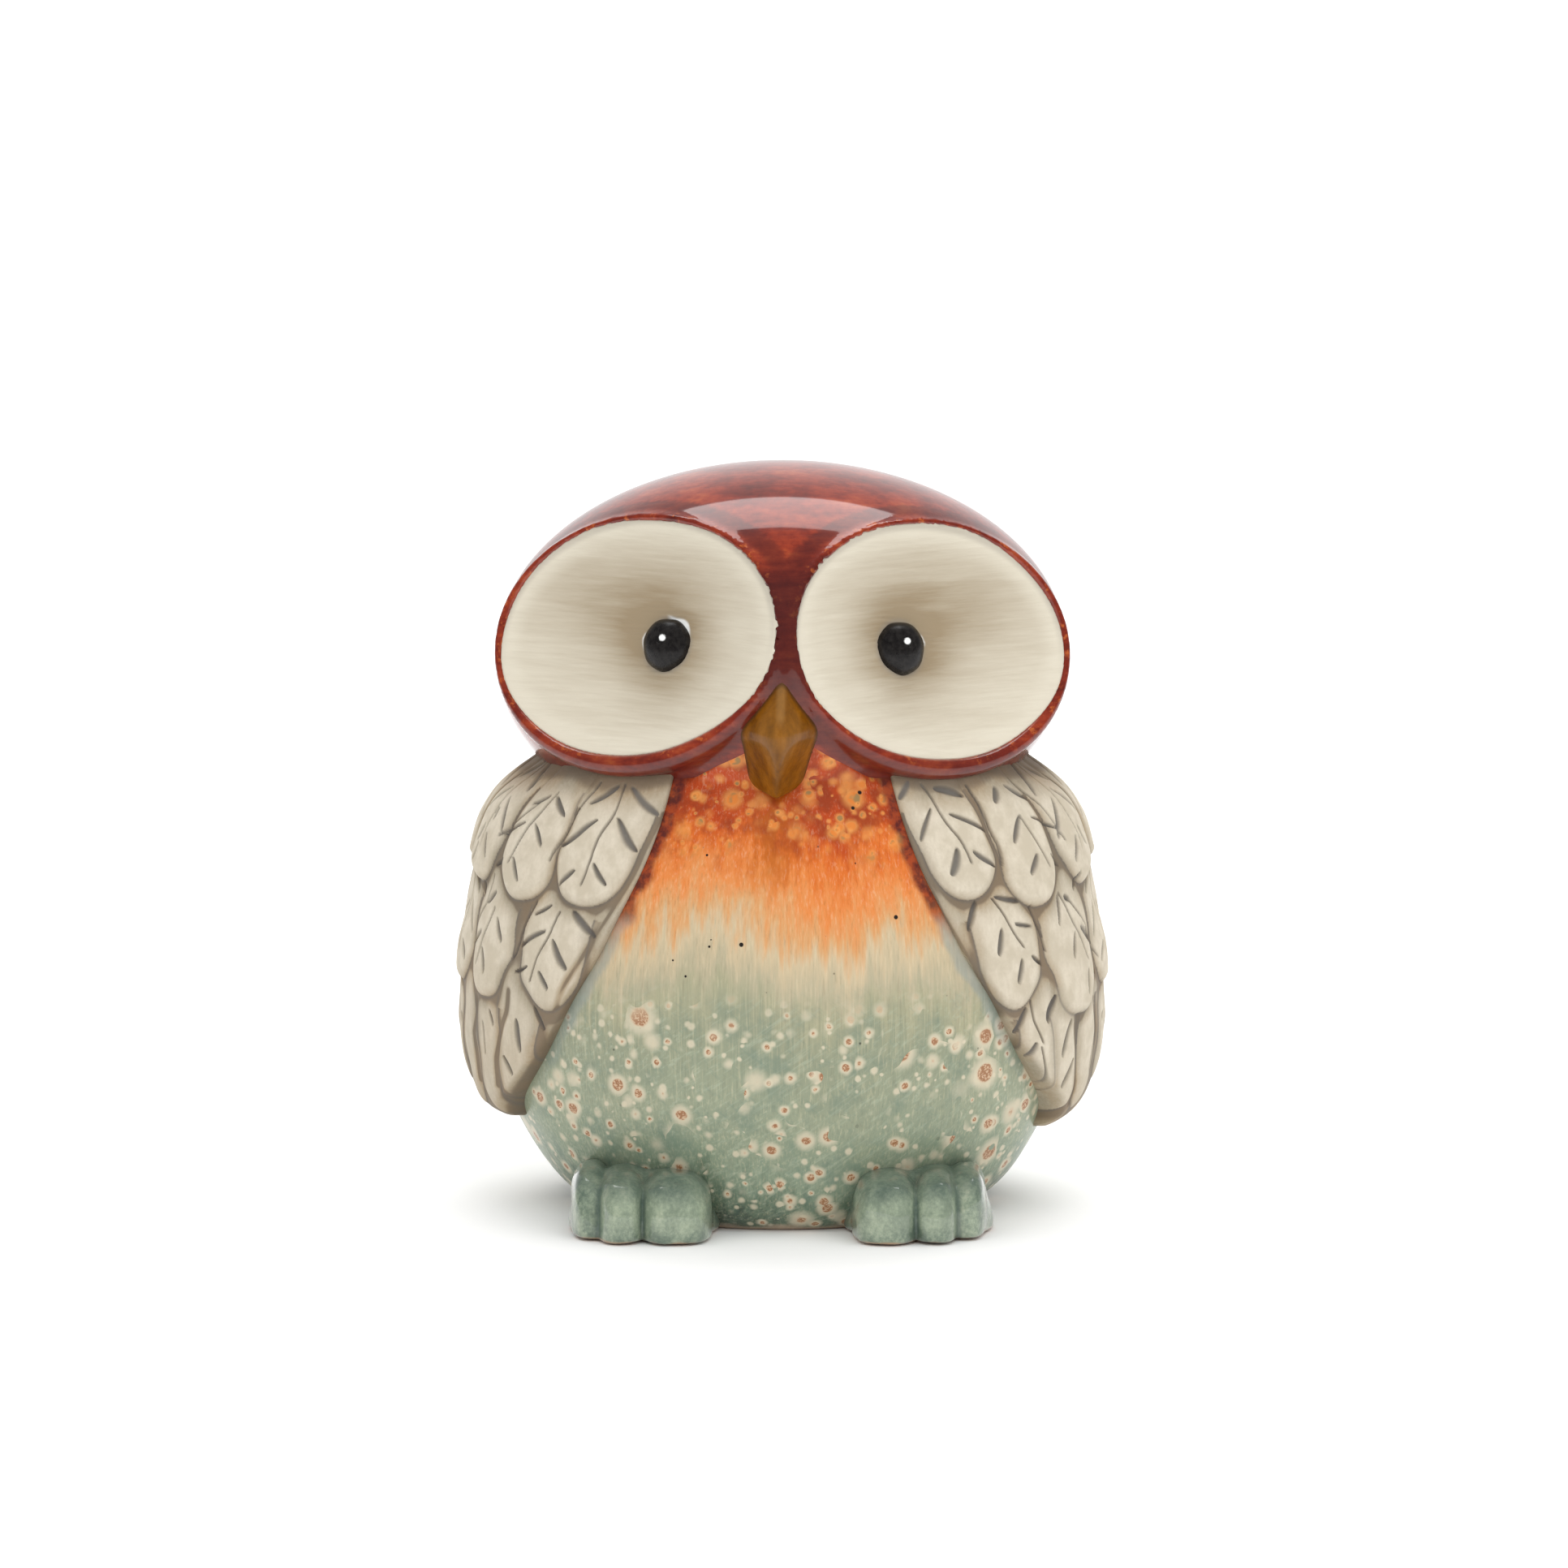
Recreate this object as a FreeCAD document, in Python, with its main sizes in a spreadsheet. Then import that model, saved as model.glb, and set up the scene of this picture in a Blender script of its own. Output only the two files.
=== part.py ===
"""Hollow ceramic owl coin bank: torso and head shells luted together, applied eye discs, pupils,
beak, wings and toed feet, a coin slot in the back of the head and a rubber stopper in the base.

Millimetres, +Z up, the owl faces -Y.  The origin is at the centre of the bounding box's bottom.
"""

import FreeCAD
import Part
import Sketcher

import math
import os

Vector = FreeCAD.Vector
Rotation = FreeCAD.Rotation
X_AXIS = Vector(1, 0, 0)
Z_AXIS = Vector(0, 0, 1)
ORIGIN = Vector(0, 0, 0)

# ---------------------------------------------------------------- driving dimensions

DIMENSIONS = {
    # head: an ellipsoid whose underside sits in the torso's mouth
    "head_rx": 61.5,
    "head_ry": 48.0,
    "head_rz": 41.5,
    "head_y": 2.0,
    "head_z": 118.0,
    "wall": 4.0,
    "neck_radius": 30.0,
    # coin slot in the back of the head
    "slot_length": 36.0,
    "slot_width": 5.0,
    "slot_z": 133.0,
    "slot_y": 30.0,
    "slot_reach": 30.0,
    # eye discs: elliptical plates let into flats on the head, each with a shallow dish
    "eye_thickness": 4.2,
    "eye_backing": 4.3,
    "dish_radius": 150.0,
    "dish_depth": 3.0,
    "flat_length": 110.0,
    "flat_width": 90.0,
    "flat_height": 30.0,
    "left_azimuth": -34.2,
    "left_elevation": 16.9,
    "left_plane": 40.5,
    "left_long": 34.3,
    "left_short": 25.3,
    "left_roll": 6.0,
    "right_azimuth": 34.8,
    "right_elevation": 14.7,
    "right_plane": 41.0,
    "right_long": 33.8,
    "right_short": 24.8,
    "right_roll": -7.4,
    # pupils: domes that stand on the dish, nearer the beak than its centre
    "pupil_ball": 5.95,
    "pupil_sink": 0.6,
    "pupil_inset": 6.0,
    "pupil_drop": 1.2,
    # beak: the lens where two ellipsoids cross
    "beak_r": 14.6,
    "beak_ry": 10.8,
    "beak_offset": 6.95,
    "beak_y": -44.0,
    "beak_z": 109.2,
    # torso: its axis, and the base with a recess and a round hole
    "torso_y": 2.0,
    "recess_radius": 31.0,
    "recess_depth": 3.0,
    "floor": 4.0,
    "hole_radius": 15.0,
    # wings: slabs over the torso inside an outline drawn from the side
    "wing_side": 8.6,
    "wing_front": 0.6,
    "wing_inner_x": 12.0,
    "wing_reach": 70.0,
    "wing_top_z": 106.0,
    "wing_front_y": 32.0,
    "wing_back_y": 31.0,
    "wing_tip_front_y": 22.0,
    "wing_tip_front_z": 20.5,
    "wing_tip_back_y": 3.0,
    "wing_tip_back_z": 21.0,
    "wing_front_radius": 65.0,
    "wing_tip_radius": 14.0,
    "wing_back_radius": 110.0,
    # feet
    "toe_z": 4.0,
    "toe_rz": 10.6,
    # rubber stopper
    "stopper_clearance": 0.05,
    "flange_face_z": 1.0,
    "flange_top_z": 2.9,
    "flange_radius": 19.0,
    "lip_radius": 13.6,
    "stem_top_z": 8.4,
    "lip_top_z": 11.0,
    "cup_radius": 11.5,
    "cup_top_z": 8.6,
    "grip_length": 22.6,
    "grip_width": 3.0,
}

# Torso cross-sections are ellipses: height, half width, half depth.
TORSO_SECTIONS = (
    (0.0, 41.5, 39.0),
    (3.0, 45.5, 42.5),
    (12.0, 53.0, 47.5),
    (26.0, 59.5, 52.0),
    (46.0, 62.0, 54.0),
    (66.0, 60.0, 52.8),
    (84.0, 53.5, 48.6),
    (98.0, 47.8, 42.0),
    (108.0, 44.4, 37.0),
)

# Toes are ellipsoids: distance from the middle plane, y, half width, half length.
TOES = {
    "inner": (22.2, -41.5, 7.4, 14.5),
    "middle": (32.8, -41.0, 5.8, 14.0),
    "outer": (39.6, -36.5, 4.8, 13.5),
}

for count, section in enumerate(TORSO_SECTIONS):
    for letter, value in zip("zwd", section):
        DIMENSIONS[f"torso_{letter}{count}"] = value
for toe, sizes in TOES.items():
    for size, value in zip(("x", "y", "rx", "ry"), sizes):
        DIMENSIONS[f"toe_{toe}_{size}"] = value

doc = FreeCAD.newDocument("owl_bank")
sheet = doc.addObject("Spreadsheet::Sheet", "dims")
for row, (alias, value) in enumerate(DIMENSIONS.items(), start=1):
    sheet.set(f"A{row}", alias)
    sheet.set(f"B{row}", str(value))
    sheet.setAlias(f"B{row}", alias)
doc.recompute()


def cell(alias):
    """A driving dimension, read back from the sheet."""
    return float(sheet.get(alias))


# ---------------------------------------------------------------- document helpers


def make(kind, name, position=ORIGIN, turn=None, **sizes):
    """A document object at a place, whose sizes are bound to expressions on the sheet."""
    made = doc.addObject(kind, name)
    made.Placement = FreeCAD.Placement(position, turn or Rotation())
    for size, expression in sizes.items():
        made.setExpression(size, expression)
    return made


def place_by(made, **expressions):
    """Binds coordinates of an object's place to the sheet, such as z='dims.head_z'."""
    for letter, expression in expressions.items():
        made.setExpression(f"Placement.Base.{letter}", expression)
    return made


def cut(name, base, *tools):
    """base less each tool in turn; the last cut carries the name."""
    for count, tool in enumerate(tools, start=1):
        made = doc.addObject("Part::Cut", name if count == len(tools) else f"{name}_stage")
        made.Base = base
        made.Tool = tool
        base = made
    return base


def common(name, first, second):
    """The space that two solids share."""
    made = doc.addObject("Part::Common", name)
    made.Base = first
    made.Tool = second
    return made


def origin_plane(body, role):
    return next(f for f in body.Origin.OriginFeatures if f.Role == role)


def new_sketch(body, name, role, offset=ORIGIN):
    """A sketch flat on one of the body's own origin planes."""
    drawn = body.newObject("Sketcher::SketchObject", name)
    drawn.AttachmentSupport = (origin_plane(body, role), [""])
    drawn.MapMode = "FlatFace"
    drawn.AttachmentOffset = FreeCAD.Placement(offset, Rotation())
    return drawn


def feature(body, kind, name, drawn, **sizes):
    """A sketch-based feature of a body, with its sizes bound to the sheet."""
    made = body.newObject(kind, name)
    made.Profile = drawn
    for size, expression in sizes.items():
        made.setExpression(size, expression)
    return made


def pin_point(drawn, geometry, end, across, up):
    """Ties a sketch point to expressions for its distances from the sketch's axes."""
    point = drawn.getPoint(geometry, end)
    for kind, value, expression in (("DistanceX", point.x, across), ("DistanceY", point.y, up)):
        if expression == "0":
            drawn.addConstraint(
                Sketcher.Constraint("PointOnObject", geometry, end, -2 if kind == "DistanceX" else -1)
            )
            continue
        if value > 0:
            made = drawn.addConstraint(Sketcher.Constraint(kind, -1, 1, geometry, end, value))
            drawn.setExpression(f"Constraints[{made}]", expression)
        else:
            made = drawn.addConstraint(Sketcher.Constraint(kind, geometry, end, -1, 1, -value))
            drawn.setExpression(f"Constraints[{made}]", f"-({expression})")


def draw_polygon(drawn, corners):
    """Closed straight outline; each corner is a pair of expressions on the sheet's cells."""
    points = [Vector(evaluate(across), evaluate(up), 0) for across, up in corners]
    for start, end in zip(points, points[1:] + points[:1]):
        drawn.addGeometry(Part.LineSegment(start, end), False)
    for count, (across, up) in enumerate(corners):
        drawn.addConstraint(
            Sketcher.Constraint("Coincident", (count - 1) % len(corners), 2, count, 1)
        )
        pin_point(drawn, count, 1, across, up)


def evaluate(expression):
    """The value of an expression that names cells of the sheet."""
    return float(sheet.evalExpression(expression.replace("dims.", "")))


# ---------------------------------------------------------------- torso


def torso_loft(name, width, depth, lift=None):
    """A smooth solid through the torso's sections, grown by width and depth expressions."""
    rings = []
    for count in range(len(TORSO_SECTIONS)):
        ring = make(
            "Part::Ellipse",
            f"{name}_ring",
            MajorRadius=f"dims.torso_w{count} + {width}",
            MinorRadius=f"dims.torso_d{count} + {depth}",
        )
        raised = lift(count) if lift else "0"
        place_by(ring, y="dims.torso_y", z=f"dims.torso_z{count} + {raised}")
        rings.append(ring)
    loft = doc.addObject("Part::Loft", name)
    loft.Sections = rings
    loft.Solid = True
    loft.Ruled = False
    return loft


def cavity_lift(count):
    """The lowest cavity sections are raised, so that the wall is as thick on the slanted base."""
    return f"dims.wall * {max(0.0, 1 - count / 4)}"


def build_torso(torso_blank, head_egg):
    hollow = torso_loft("torso_hollow", "-dims.wall", "-dims.wall", cavity_lift)
    below = place_by(
        make(
            "Part::Cylinder",
            "floor_blank",
            Radius="dims.torso_w4",
            Height="dims.recess_depth + dims.floor",
        ),
        y="dims.torso_y",
    )
    cavity = cut("torso_cavity", hollow, below)
    recess = place_by(
        make("Part::Cylinder", "base_recess", Radius="dims.recess_radius", Height="dims.recess_depth"),
        y="dims.torso_y",
    )
    hole = place_by(
        make(
            "Part::Cylinder",
            "base_hole",
            Radius="dims.hole_radius",
            Height="dims.recess_depth + dims.floor",
        ),
        y="dims.torso_y",
    )
    return cut("torso_shell", torso_blank, head_egg, cavity, recess, hole)


# ---------------------------------------------------------------- head and eyes


def head_centre():
    return Vector(0, cell("head_y"), cell("head_z"))


def head_ellipsoid(name, inset):
    """The head's ellipsoid, smaller all round by inset, with its seam turned to the back."""
    made = make(
        "Part::Ellipsoid",
        name,
        turn=Rotation(Z_AXIS, 90),
        Radius1=f"dims.head_rz - {inset}",
        Radius2=f"dims.head_ry - {inset}",
        Radius3=f"dims.head_rx - {inset}",
    )
    return place_by(made, y="dims.head_y", z="dims.head_z")


def eye_frame(side):
    """Centre of the flat's outline and the turn that takes Z to the flat's normal."""
    azimuth = cell(f"{side}_azimuth")
    turn = Rotation(Z_AXIS, azimuth)
    turn = turn * Rotation(X_AXIS, 90 - cell(f"{side}_elevation"))
    normal = turn.multVec(Z_AXIS)
    squares = [cell(f"head_r{letter}") ** 2 for letter in "xyz"]
    weighted = Vector(*(square * part for square, part in zip(squares, normal)))
    centre = weighted * (cell(f"{side}_plane") / weighted.dot(normal))
    return head_centre() + centre, turn * Rotation(Z_AXIS, cell(f"{side}_roll"))


def half_space(side, name, depth):
    """A block whose lower face lies depth behind the eye's flat."""
    centre, turn = eye_frame(side)
    corner = Vector(-cell("flat_length") / 2, -cell("flat_width") / 2, -depth)
    return make(
        "Part::Box",
        f"{side}_{name}",
        centre + turn.multVec(corner),
        turn,
        Length="dims.flat_length",
        Width="dims.flat_width",
        Height=f"dims.flat_height + {depth}",
    )


def eye_plate(side):
    """The full elliptical plate, before its dish."""
    centre, turn = eye_frame(side)
    rim = make(
        "Part::Ellipse",
        f"{side}_eye_rim",
        centre,
        turn,
        MajorRadius=f"dims.{side}_long",
        MinorRadius=f"dims.{side}_short",
    )
    plate = doc.addObject("Part::Extrusion", f"{side}_eye_plate")
    plate.Base = rim
    plate.DirMode = "Custom"
    plate.Dir = turn.multVec(-Z_AXIS)
    plate.Solid = True
    plate.setExpression("LengthFwd", "dims.eye_thickness")
    return plate


def dish_ball(side):
    centre, turn = eye_frame(side)
    out = cell("dish_radius") - cell("dish_depth")
    return make(
        "Part::Sphere",
        f"{side}_dish_ball",
        centre + turn.multVec(Vector(0, 0, out)),
        turn,
        Radius="dims.dish_radius",
    )


def build_pupil(side, ball):
    centre, turn = eye_frame(side)
    inset = cell("pupil_inset") * (1 if side == "left" else -1)
    drop = cell("pupil_drop")
    dish = cell("dish_depth") - (inset**2 + drop**2) / (2 * cell("dish_radius"))
    seat = Vector(inset, -drop, -dish - cell("pupil_sink"))
    bead = make(
        "Part::Sphere", f"{side}_bead", centre + turn.multVec(seat), turn, Radius="dims.pupil_ball"
    )
    return common(f"{side}_pupil", bead, ball)


def slot_cutter():
    """A round-ended bar that runs back through the wall."""
    half_span = "(dims.slot_length - dims.slot_width) / 2"
    middle = make(
        "Part::Box",
        "slot_middle",
        Length="dims.slot_length - dims.slot_width",
        Width="dims.slot_reach",
        Height="dims.slot_width",
    )
    pieces = [
        place_by(middle, x=f"-{half_span}", y="dims.slot_y", z="dims.slot_z - dims.slot_width / 2")
    ]
    for sign in ("-", ""):
        end = make(
            "Part::Cylinder",
            "slot_end",
            turn=Rotation(X_AXIS, -90),
            Radius="dims.slot_width / 2",
            Height="dims.slot_reach",
        )
        pieces.append(place_by(end, x=f"{sign}{half_span}", y="dims.slot_y", z="dims.slot_z"))
    joined = doc.addObject("Part::MultiFuse", "slot_cutter")
    joined.Shapes = pieces
    return joined


def build_head(head_blank, plates):
    hollow = head_ellipsoid("head_hollow", "dims.wall")
    behind = cell("eye_thickness") + cell("eye_backing")
    backings = [half_space(side, "backing", behind) for side in ("left", "right")]
    cavity = cut("head_cavity", hollow, *backings)
    neck = place_by(
        make("Part::Cylinder", "neck_bore", Radius="dims.neck_radius", Height="dims.head_rz"),
        y="dims.head_y",
        z="dims.head_z - dims.head_rz",
    )
    return cut("head_shell", head_blank, cavity, *plates, neck, slot_cutter())


# ---------------------------------------------------------------- beak, wings, feet


def build_beak(head_blank, torso_blank):
    halves = []
    for side, sign in (("left", "-"), ("right", "")):
        half = make(
            "Part::Ellipsoid",
            f"beak_{side}",
            Radius1="dims.beak_r",
            Radius2="dims.beak_r",
            Radius3="dims.beak_ry",
        )
        halves.append(place_by(half, x=f"{sign}dims.beak_offset", y="dims.beak_y", z="dims.beak_z"))
    return cut("beak", common("beak_lens", *halves), head_blank, torso_blank)


def arc_through(start, middle, end):
    """A circular arc through three (across, up) points of a sketch."""
    return Part.Arc(*(Vector(*point, 0) for point in (start, middle, end)))


def bulge(start, end, radius):
    """The middle of the arc of that radius from start to end that bulges to the right of its chord."""
    across, up = end[0] - start[0], end[1] - start[1]
    chord = math.hypot(across, up)
    sagitta = radius - math.sqrt(radius**2 - (chord / 2) ** 2)
    middle = ((start[0] + end[0]) / 2, (start[1] + end[1]) / 2)
    return (middle[0] + up / chord * sagitta, middle[1] - across / chord * sagitta)


def join_ends(drawn):
    """Makes the ends of sketch curves that touch coincident."""
    ends = [(g, e) for g in range(drawn.GeometryCount) for e in (1, 2)]
    for first, one in enumerate(ends):
        for other in ends[first + 1 :]:
            if (drawn.getPoint(*one) - drawn.getPoint(*other)).Length < 1e-6:
                drawn.addConstraint(Sketcher.Constraint("Coincident", *one, *other))


def wing_outline():
    """A prism with the wing's outline as seen from the side: a rounded front, tip and back."""
    body = doc.addObject("PartDesign::Body", "wing_prism")
    drawn = new_sketch(body, "wing_outline", "YZ_Plane")
    corners = (
        ("-dims.wing_front_y", "dims.wing_top_z"),
        ("-dims.wing_tip_front_y", "dims.wing_tip_front_z"),
        ("-dims.wing_tip_back_y", "dims.wing_tip_back_z"),
        ("dims.wing_back_y", "dims.wing_top_z"),
    )
    points = [(evaluate(across), evaluate(up)) for across, up in corners]
    radii = ("wing_front_radius", "wing_tip_radius", "wing_back_radius")
    for start, end, radius in zip(points, points[1:], radii):
        drawn.addGeometry(arc_through(start, bulge(start, end, cell(radius)), end), False)
    drawn.addGeometry(Part.LineSegment(Vector(*points[3], 0), Vector(*points[0], 0)), False)
    join_ends(drawn)
    for count, radius in enumerate(radii):
        made = drawn.addConstraint(Sketcher.Constraint("Radius", count, cell(radius)))
        drawn.setExpression(f"Constraints[{made}]", f"dims.{radius}")
    for point, (across, up) in zip(points, corners):
        geometry, end = next(
            (g, e)
            for g in range(4)
            for e in (1, 2)
            if (drawn.getPoint(g, e) - Vector(*point, 0)).Length < 1e-6
        )
        pin_point(drawn, geometry, end, across, up)
    drawn.AttachmentOffset = FreeCAD.Placement(Vector(0, 0, -cell("wing_inner_x")), Rotation())
    pad = feature(body, "PartDesign::Pad", "wing_pad", drawn, Length="dims.wing_reach")
    pad.Reversed = True
    return body


def build_left_wing(wing_blank, torso_blank, head_egg):
    slab = common("wing_slab", wing_blank, wing_outline())
    return cut("left_wing", slab, torso_blank, head_egg)


def build_right_wing(left_wing):
    mirrored = doc.addObject("Part::Mirroring", "right_wing")
    mirrored.Source = left_wing
    mirrored.Normal = X_AXIS
    return mirrored


def build_foot(side, torso_blank, ground):
    sign = "-" if side == "left" else ""
    toes = []
    for toe in TOES:
        made = make(
            "Part::Ellipsoid",
            f"{side}_{toe}_toe",
            Radius1="dims.toe_rz",
            Radius2=f"dims.toe_{toe}_rx",
            Radius3=f"dims.toe_{toe}_ry",
        )
        toes.append(
            place_by(made, x=f"{sign}dims.toe_{toe}_x", y=f"dims.toe_{toe}_y", z="dims.toe_z")
        )
    joined = doc.addObject("Part::MultiFuse", f"{side}_toes")
    joined.Shapes = toes
    return cut(f"{side}_foot", joined, torso_blank, ground)


# ---------------------------------------------------------------- stopper


def build_stopper():
    """A turned rubber stopper: flange, stem, tapered lip, and a cup with a bar to pull it by."""
    body = doc.addObject("PartDesign::Body", "base_stopper")
    drawn = new_sketch(body, "stopper_profile", "XZ_Plane")
    stem = "dims.hole_radius - dims.stopper_clearance"
    draw_polygon(
        drawn,
        (
            ("dims.cup_radius", "dims.flange_face_z"),
            ("dims.flange_radius", "dims.flange_face_z"),
            ("dims.flange_radius", "dims.flange_top_z"),
            (stem, "dims.flange_top_z"),
            (stem, "dims.stem_top_z"),
            ("dims.lip_radius", "dims.lip_top_z"),
            ("0", "dims.lip_top_z"),
            ("0", "dims.cup_top_z"),
            ("dims.cup_radius", "dims.cup_top_z"),
        ),
    )
    turned = feature(body, "PartDesign::Revolution", "stopper_turning", drawn)
    turned.ReferenceAxis = (drawn, ["V_Axis"])
    turned.Angle = 360.0
    doc.recompute()
    grip = new_sketch(body, "grip_outline", "XZ_Plane")
    half_width = "dims.grip_width / 2"
    draw_polygon(
        grip,
        (
            (half_width, "dims.flange_face_z + 0.4"),
            (half_width, "dims.cup_top_z + 0.4"),
            (f"-{half_width}", "dims.cup_top_z + 0.4"),
            (f"-{half_width}", "dims.flange_face_z + 0.4"),
        ),
    )
    bar = feature(body, "PartDesign::Pad", "grip_bar", grip, Length="dims.grip_length + 0.8")
    bar.Midplane = True
    place_by(body, y="dims.torso_y")
    return body


# ---------------------------------------------------------------- assembly

torso_blank = torso_loft("torso_blank", "0", "0")
wing_blank = torso_loft("wing_blank", "dims.wing_side", "dims.wing_front")
head_egg = head_ellipsoid("head_egg", "0")
head_blank = cut(
    "head_blank",
    head_egg,
    *(half_space(side, "flat", 0.0) for side in ("left", "right")),
)
ground = make("Part::Box", "ground", Vector(-100, -100, -20))
ground.Length, ground.Width, ground.Height = 200, 200, 20

plates = {side: eye_plate(side) for side in ("left", "right")}
subparts = [
    build_torso(torso_blank, head_egg),
    build_head(head_blank, list(plates.values())),
    build_beak(head_blank, torso_blank),
    build_stopper(),
]
for side in ("left", "right"):
    ball = dish_ball(side)
    subparts.append(cut(f"{side}_eye_disc", plates[side], ball))
    subparts.append(build_pupil(side, ball))
    subparts.append(build_foot(side, torso_blank, ground))
left_wing = build_left_wing(wing_blank, torso_blank, head_egg)
subparts += [left_wing, build_right_wing(left_wing)]
doc.recompute()

# ---------------------------------------------------------------- checks and export

for made in doc.Objects:
    if "Invalid" in made.State or "Error" in made.State:
        raise SystemExit(f"{made.Name} failed: {made.State}")
os.makedirs("parts", exist_ok=True)
for made in subparts:
    made.Label = made.Name
    shape = made.Shape
    if shape.isNull() or not shape.isValid() or not shape.Solids:
        raise SystemExit(f"{made.Label} has no valid solid")
    shape.exportStep(f"parts/{made.Label}.step")
    box = shape.BoundBox
    print(
        f"{made.Label:16s} solids {len(shape.Solids)} volume {shape.Volume / 1000:8.2f} cm3 "
        f"x {box.XMin:6.1f}..{box.XMax:5.1f} y {box.YMin:6.1f}..{box.YMax:5.1f} "
        f"z {box.ZMin:6.1f}..{box.ZMax:5.1f}"
    )
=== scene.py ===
"""Owl coin bank: sculpted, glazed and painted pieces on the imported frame.

Shapes are worked out in millimetres and become metres when a mesh is made.
+Z is up and the owl faces -Y, as in the CAD model.
"""

import math

import bpy
import numpy as np
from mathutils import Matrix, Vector


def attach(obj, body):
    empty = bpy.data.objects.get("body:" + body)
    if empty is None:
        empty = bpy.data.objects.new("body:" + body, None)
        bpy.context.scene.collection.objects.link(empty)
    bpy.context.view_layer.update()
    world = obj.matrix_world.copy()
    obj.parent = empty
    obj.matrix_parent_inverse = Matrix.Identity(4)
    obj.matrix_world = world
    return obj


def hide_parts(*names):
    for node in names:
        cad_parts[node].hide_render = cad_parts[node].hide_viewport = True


MM = 0.001
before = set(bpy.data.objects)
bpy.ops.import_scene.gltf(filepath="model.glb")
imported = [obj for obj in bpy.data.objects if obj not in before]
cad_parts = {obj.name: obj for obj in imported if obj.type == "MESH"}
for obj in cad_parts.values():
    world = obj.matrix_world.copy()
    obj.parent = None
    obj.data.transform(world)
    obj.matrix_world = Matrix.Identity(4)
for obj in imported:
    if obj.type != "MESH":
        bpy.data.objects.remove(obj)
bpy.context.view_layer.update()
rng = np.random.default_rng(11)

# ---------------------------------------------------------------- sizes shared with the CAD model

AXIS_Y = 2.0
WALL = 4.0
HEAD = np.array([0.0, 2.0, 118.0])
HEAD_RADII = np.array([61.5, 48.0, 41.5])
SECTIONS = np.array(
    [
        (0.0, 41.5, 39.0),
        (3.0, 45.5, 42.5),
        (12.0, 53.0, 47.5),
        (26.0, 59.5, 52.0),
        (46.0, 62.0, 54.0),
        (66.0, 60.0, 52.8),
        (84.0, 53.5, 48.6),
        (98.0, 47.8, 42.0),
        (108.0, 44.4, 37.0),
    ]
)
WING_SIDE = 8.6
WING_FRONT = 0.6
SLOT = {"length": 36.0, "width": 5.0, "z": 133.0}
EYES = {
    "left": {"azimuth": -34.2, "elevation": 16.9, "plane": 40.5, "size": (34.4, 25.4), "roll": 6.0},
    "right": {"azimuth": 34.8, "elevation": 14.7, "plane": 41.0, "size": (34.1, 25.0), "roll": -7.4},
}
DISH_DEPTH = 3.0
NECK_RADIUS = 30.0
HOLE_RADIUS = 15.0
RECESS_RADIUS = 31.0
RECESS_DEPTH = 3.0
TOES = {
    "left": ((22.6, -41.5, 8.0, 14.5), (33.9, -41.0, 5.4, 14.0), (40.4, -36.5, 4.4, 13.5)),
    "right": ((22.2, -41.5, 7.4, 14.5), (32.4, -41.0, 5.2, 14.0), (39.0, -36.5, 4.5, 13.5)),
}
OUTWARD = {"left": -1, "right": 1}
PUPIL = {"inset": 6.0, "drop": 1.25, "half_long": 5.8, "half_short": 5.75, "rise": 4.0, "sunk": 0.35}
CAMERA_RISE = math.radians(9.0)

# ---------------------------------------------------------------- numbers


def natural_spline(x, y):
    """A natural cubic spline through the points, as a function of arrays."""
    n = len(x)
    h = np.diff(x)
    system = np.eye(n)
    right = np.zeros(n)
    for i in range(1, n - 1):
        system[i, i - 1 : i + 2] = (h[i - 1], 2 * (h[i - 1] + h[i]), h[i])
        right[i] = 6 * ((y[i + 1] - y[i]) / h[i] - (y[i] - y[i - 1]) / h[i - 1])
    bend = np.linalg.solve(system, right)

    def at(q):
        q = np.asarray(q, float)
        i = np.clip(np.searchsorted(x, q) - 1, 0, n - 2)
        a, b = x[i + 1] - q, q - x[i]
        step = h[i]
        return (
            (bend[i] * a**3 + bend[i + 1] * b**3) / (6 * step)
            + (y[i] / step - bend[i] * step / 6) * a
            + (y[i + 1] / step - bend[i + 1] * step / 6) * b
        )

    return at


half_width = natural_spline(SECTIONS[:, 0], SECTIONS[:, 1])
half_depth = natural_spline(SECTIONS[:, 0], SECTIONS[:, 2])


def smooth_step(low, high, value):
    """0 at low, 1 at high and smooth between; low may be the larger, for a step down."""
    t = np.clip((value - low) / (high - low), 0.0, 1.0)
    return t * t * (3 - 2 * t)


def smooth_max(a, b, k):
    """The larger of two fields, rounded over a width k where they cross."""
    mix = np.maximum(k - np.abs(a - b), 0.0) / k
    return np.maximum(a, b) + mix * mix * k * 0.25


def smooth_min(a, b, k):
    return -smooth_max(-a, -b, k)


WAVES = [(rng.normal(size=3), rng.uniform(0, 2 * math.pi)) for _ in range(24)]


def wobble(points, wavelength):
    """Smooth noise of about unit size, for the unevenness of hand work."""
    total = np.zeros(points.shape[:-1])
    for direction, phase in WAVES:
        total += np.sin(points @ (direction * (3.6 / wavelength)) + phase)
    return total / math.sqrt(len(WAVES) / 2)


def ellipsoid(points, centre, radii):
    """Signed distance to an ellipsoid, close to it."""
    local = points - centre
    k0 = np.linalg.norm(local / radii, axis=-1)
    k1 = np.linalg.norm(local / radii**2, axis=-1)
    return k0 * (k0 - 1.0) / np.maximum(k1, 1e-9)


def ellipse(u, v, a, b):
    """Signed distance to an ellipse, close to it."""
    k0 = np.hypot(u / a, v / b)
    k1 = np.hypot(u / a**2, v / b**2)
    return np.where(k0 < 1e-6, -min(np.min(a), np.min(b)), k0 * (k0 - 1.0) / np.maximum(k1, 1e-9))


# ---------------------------------------------------------------- meshes


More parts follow.
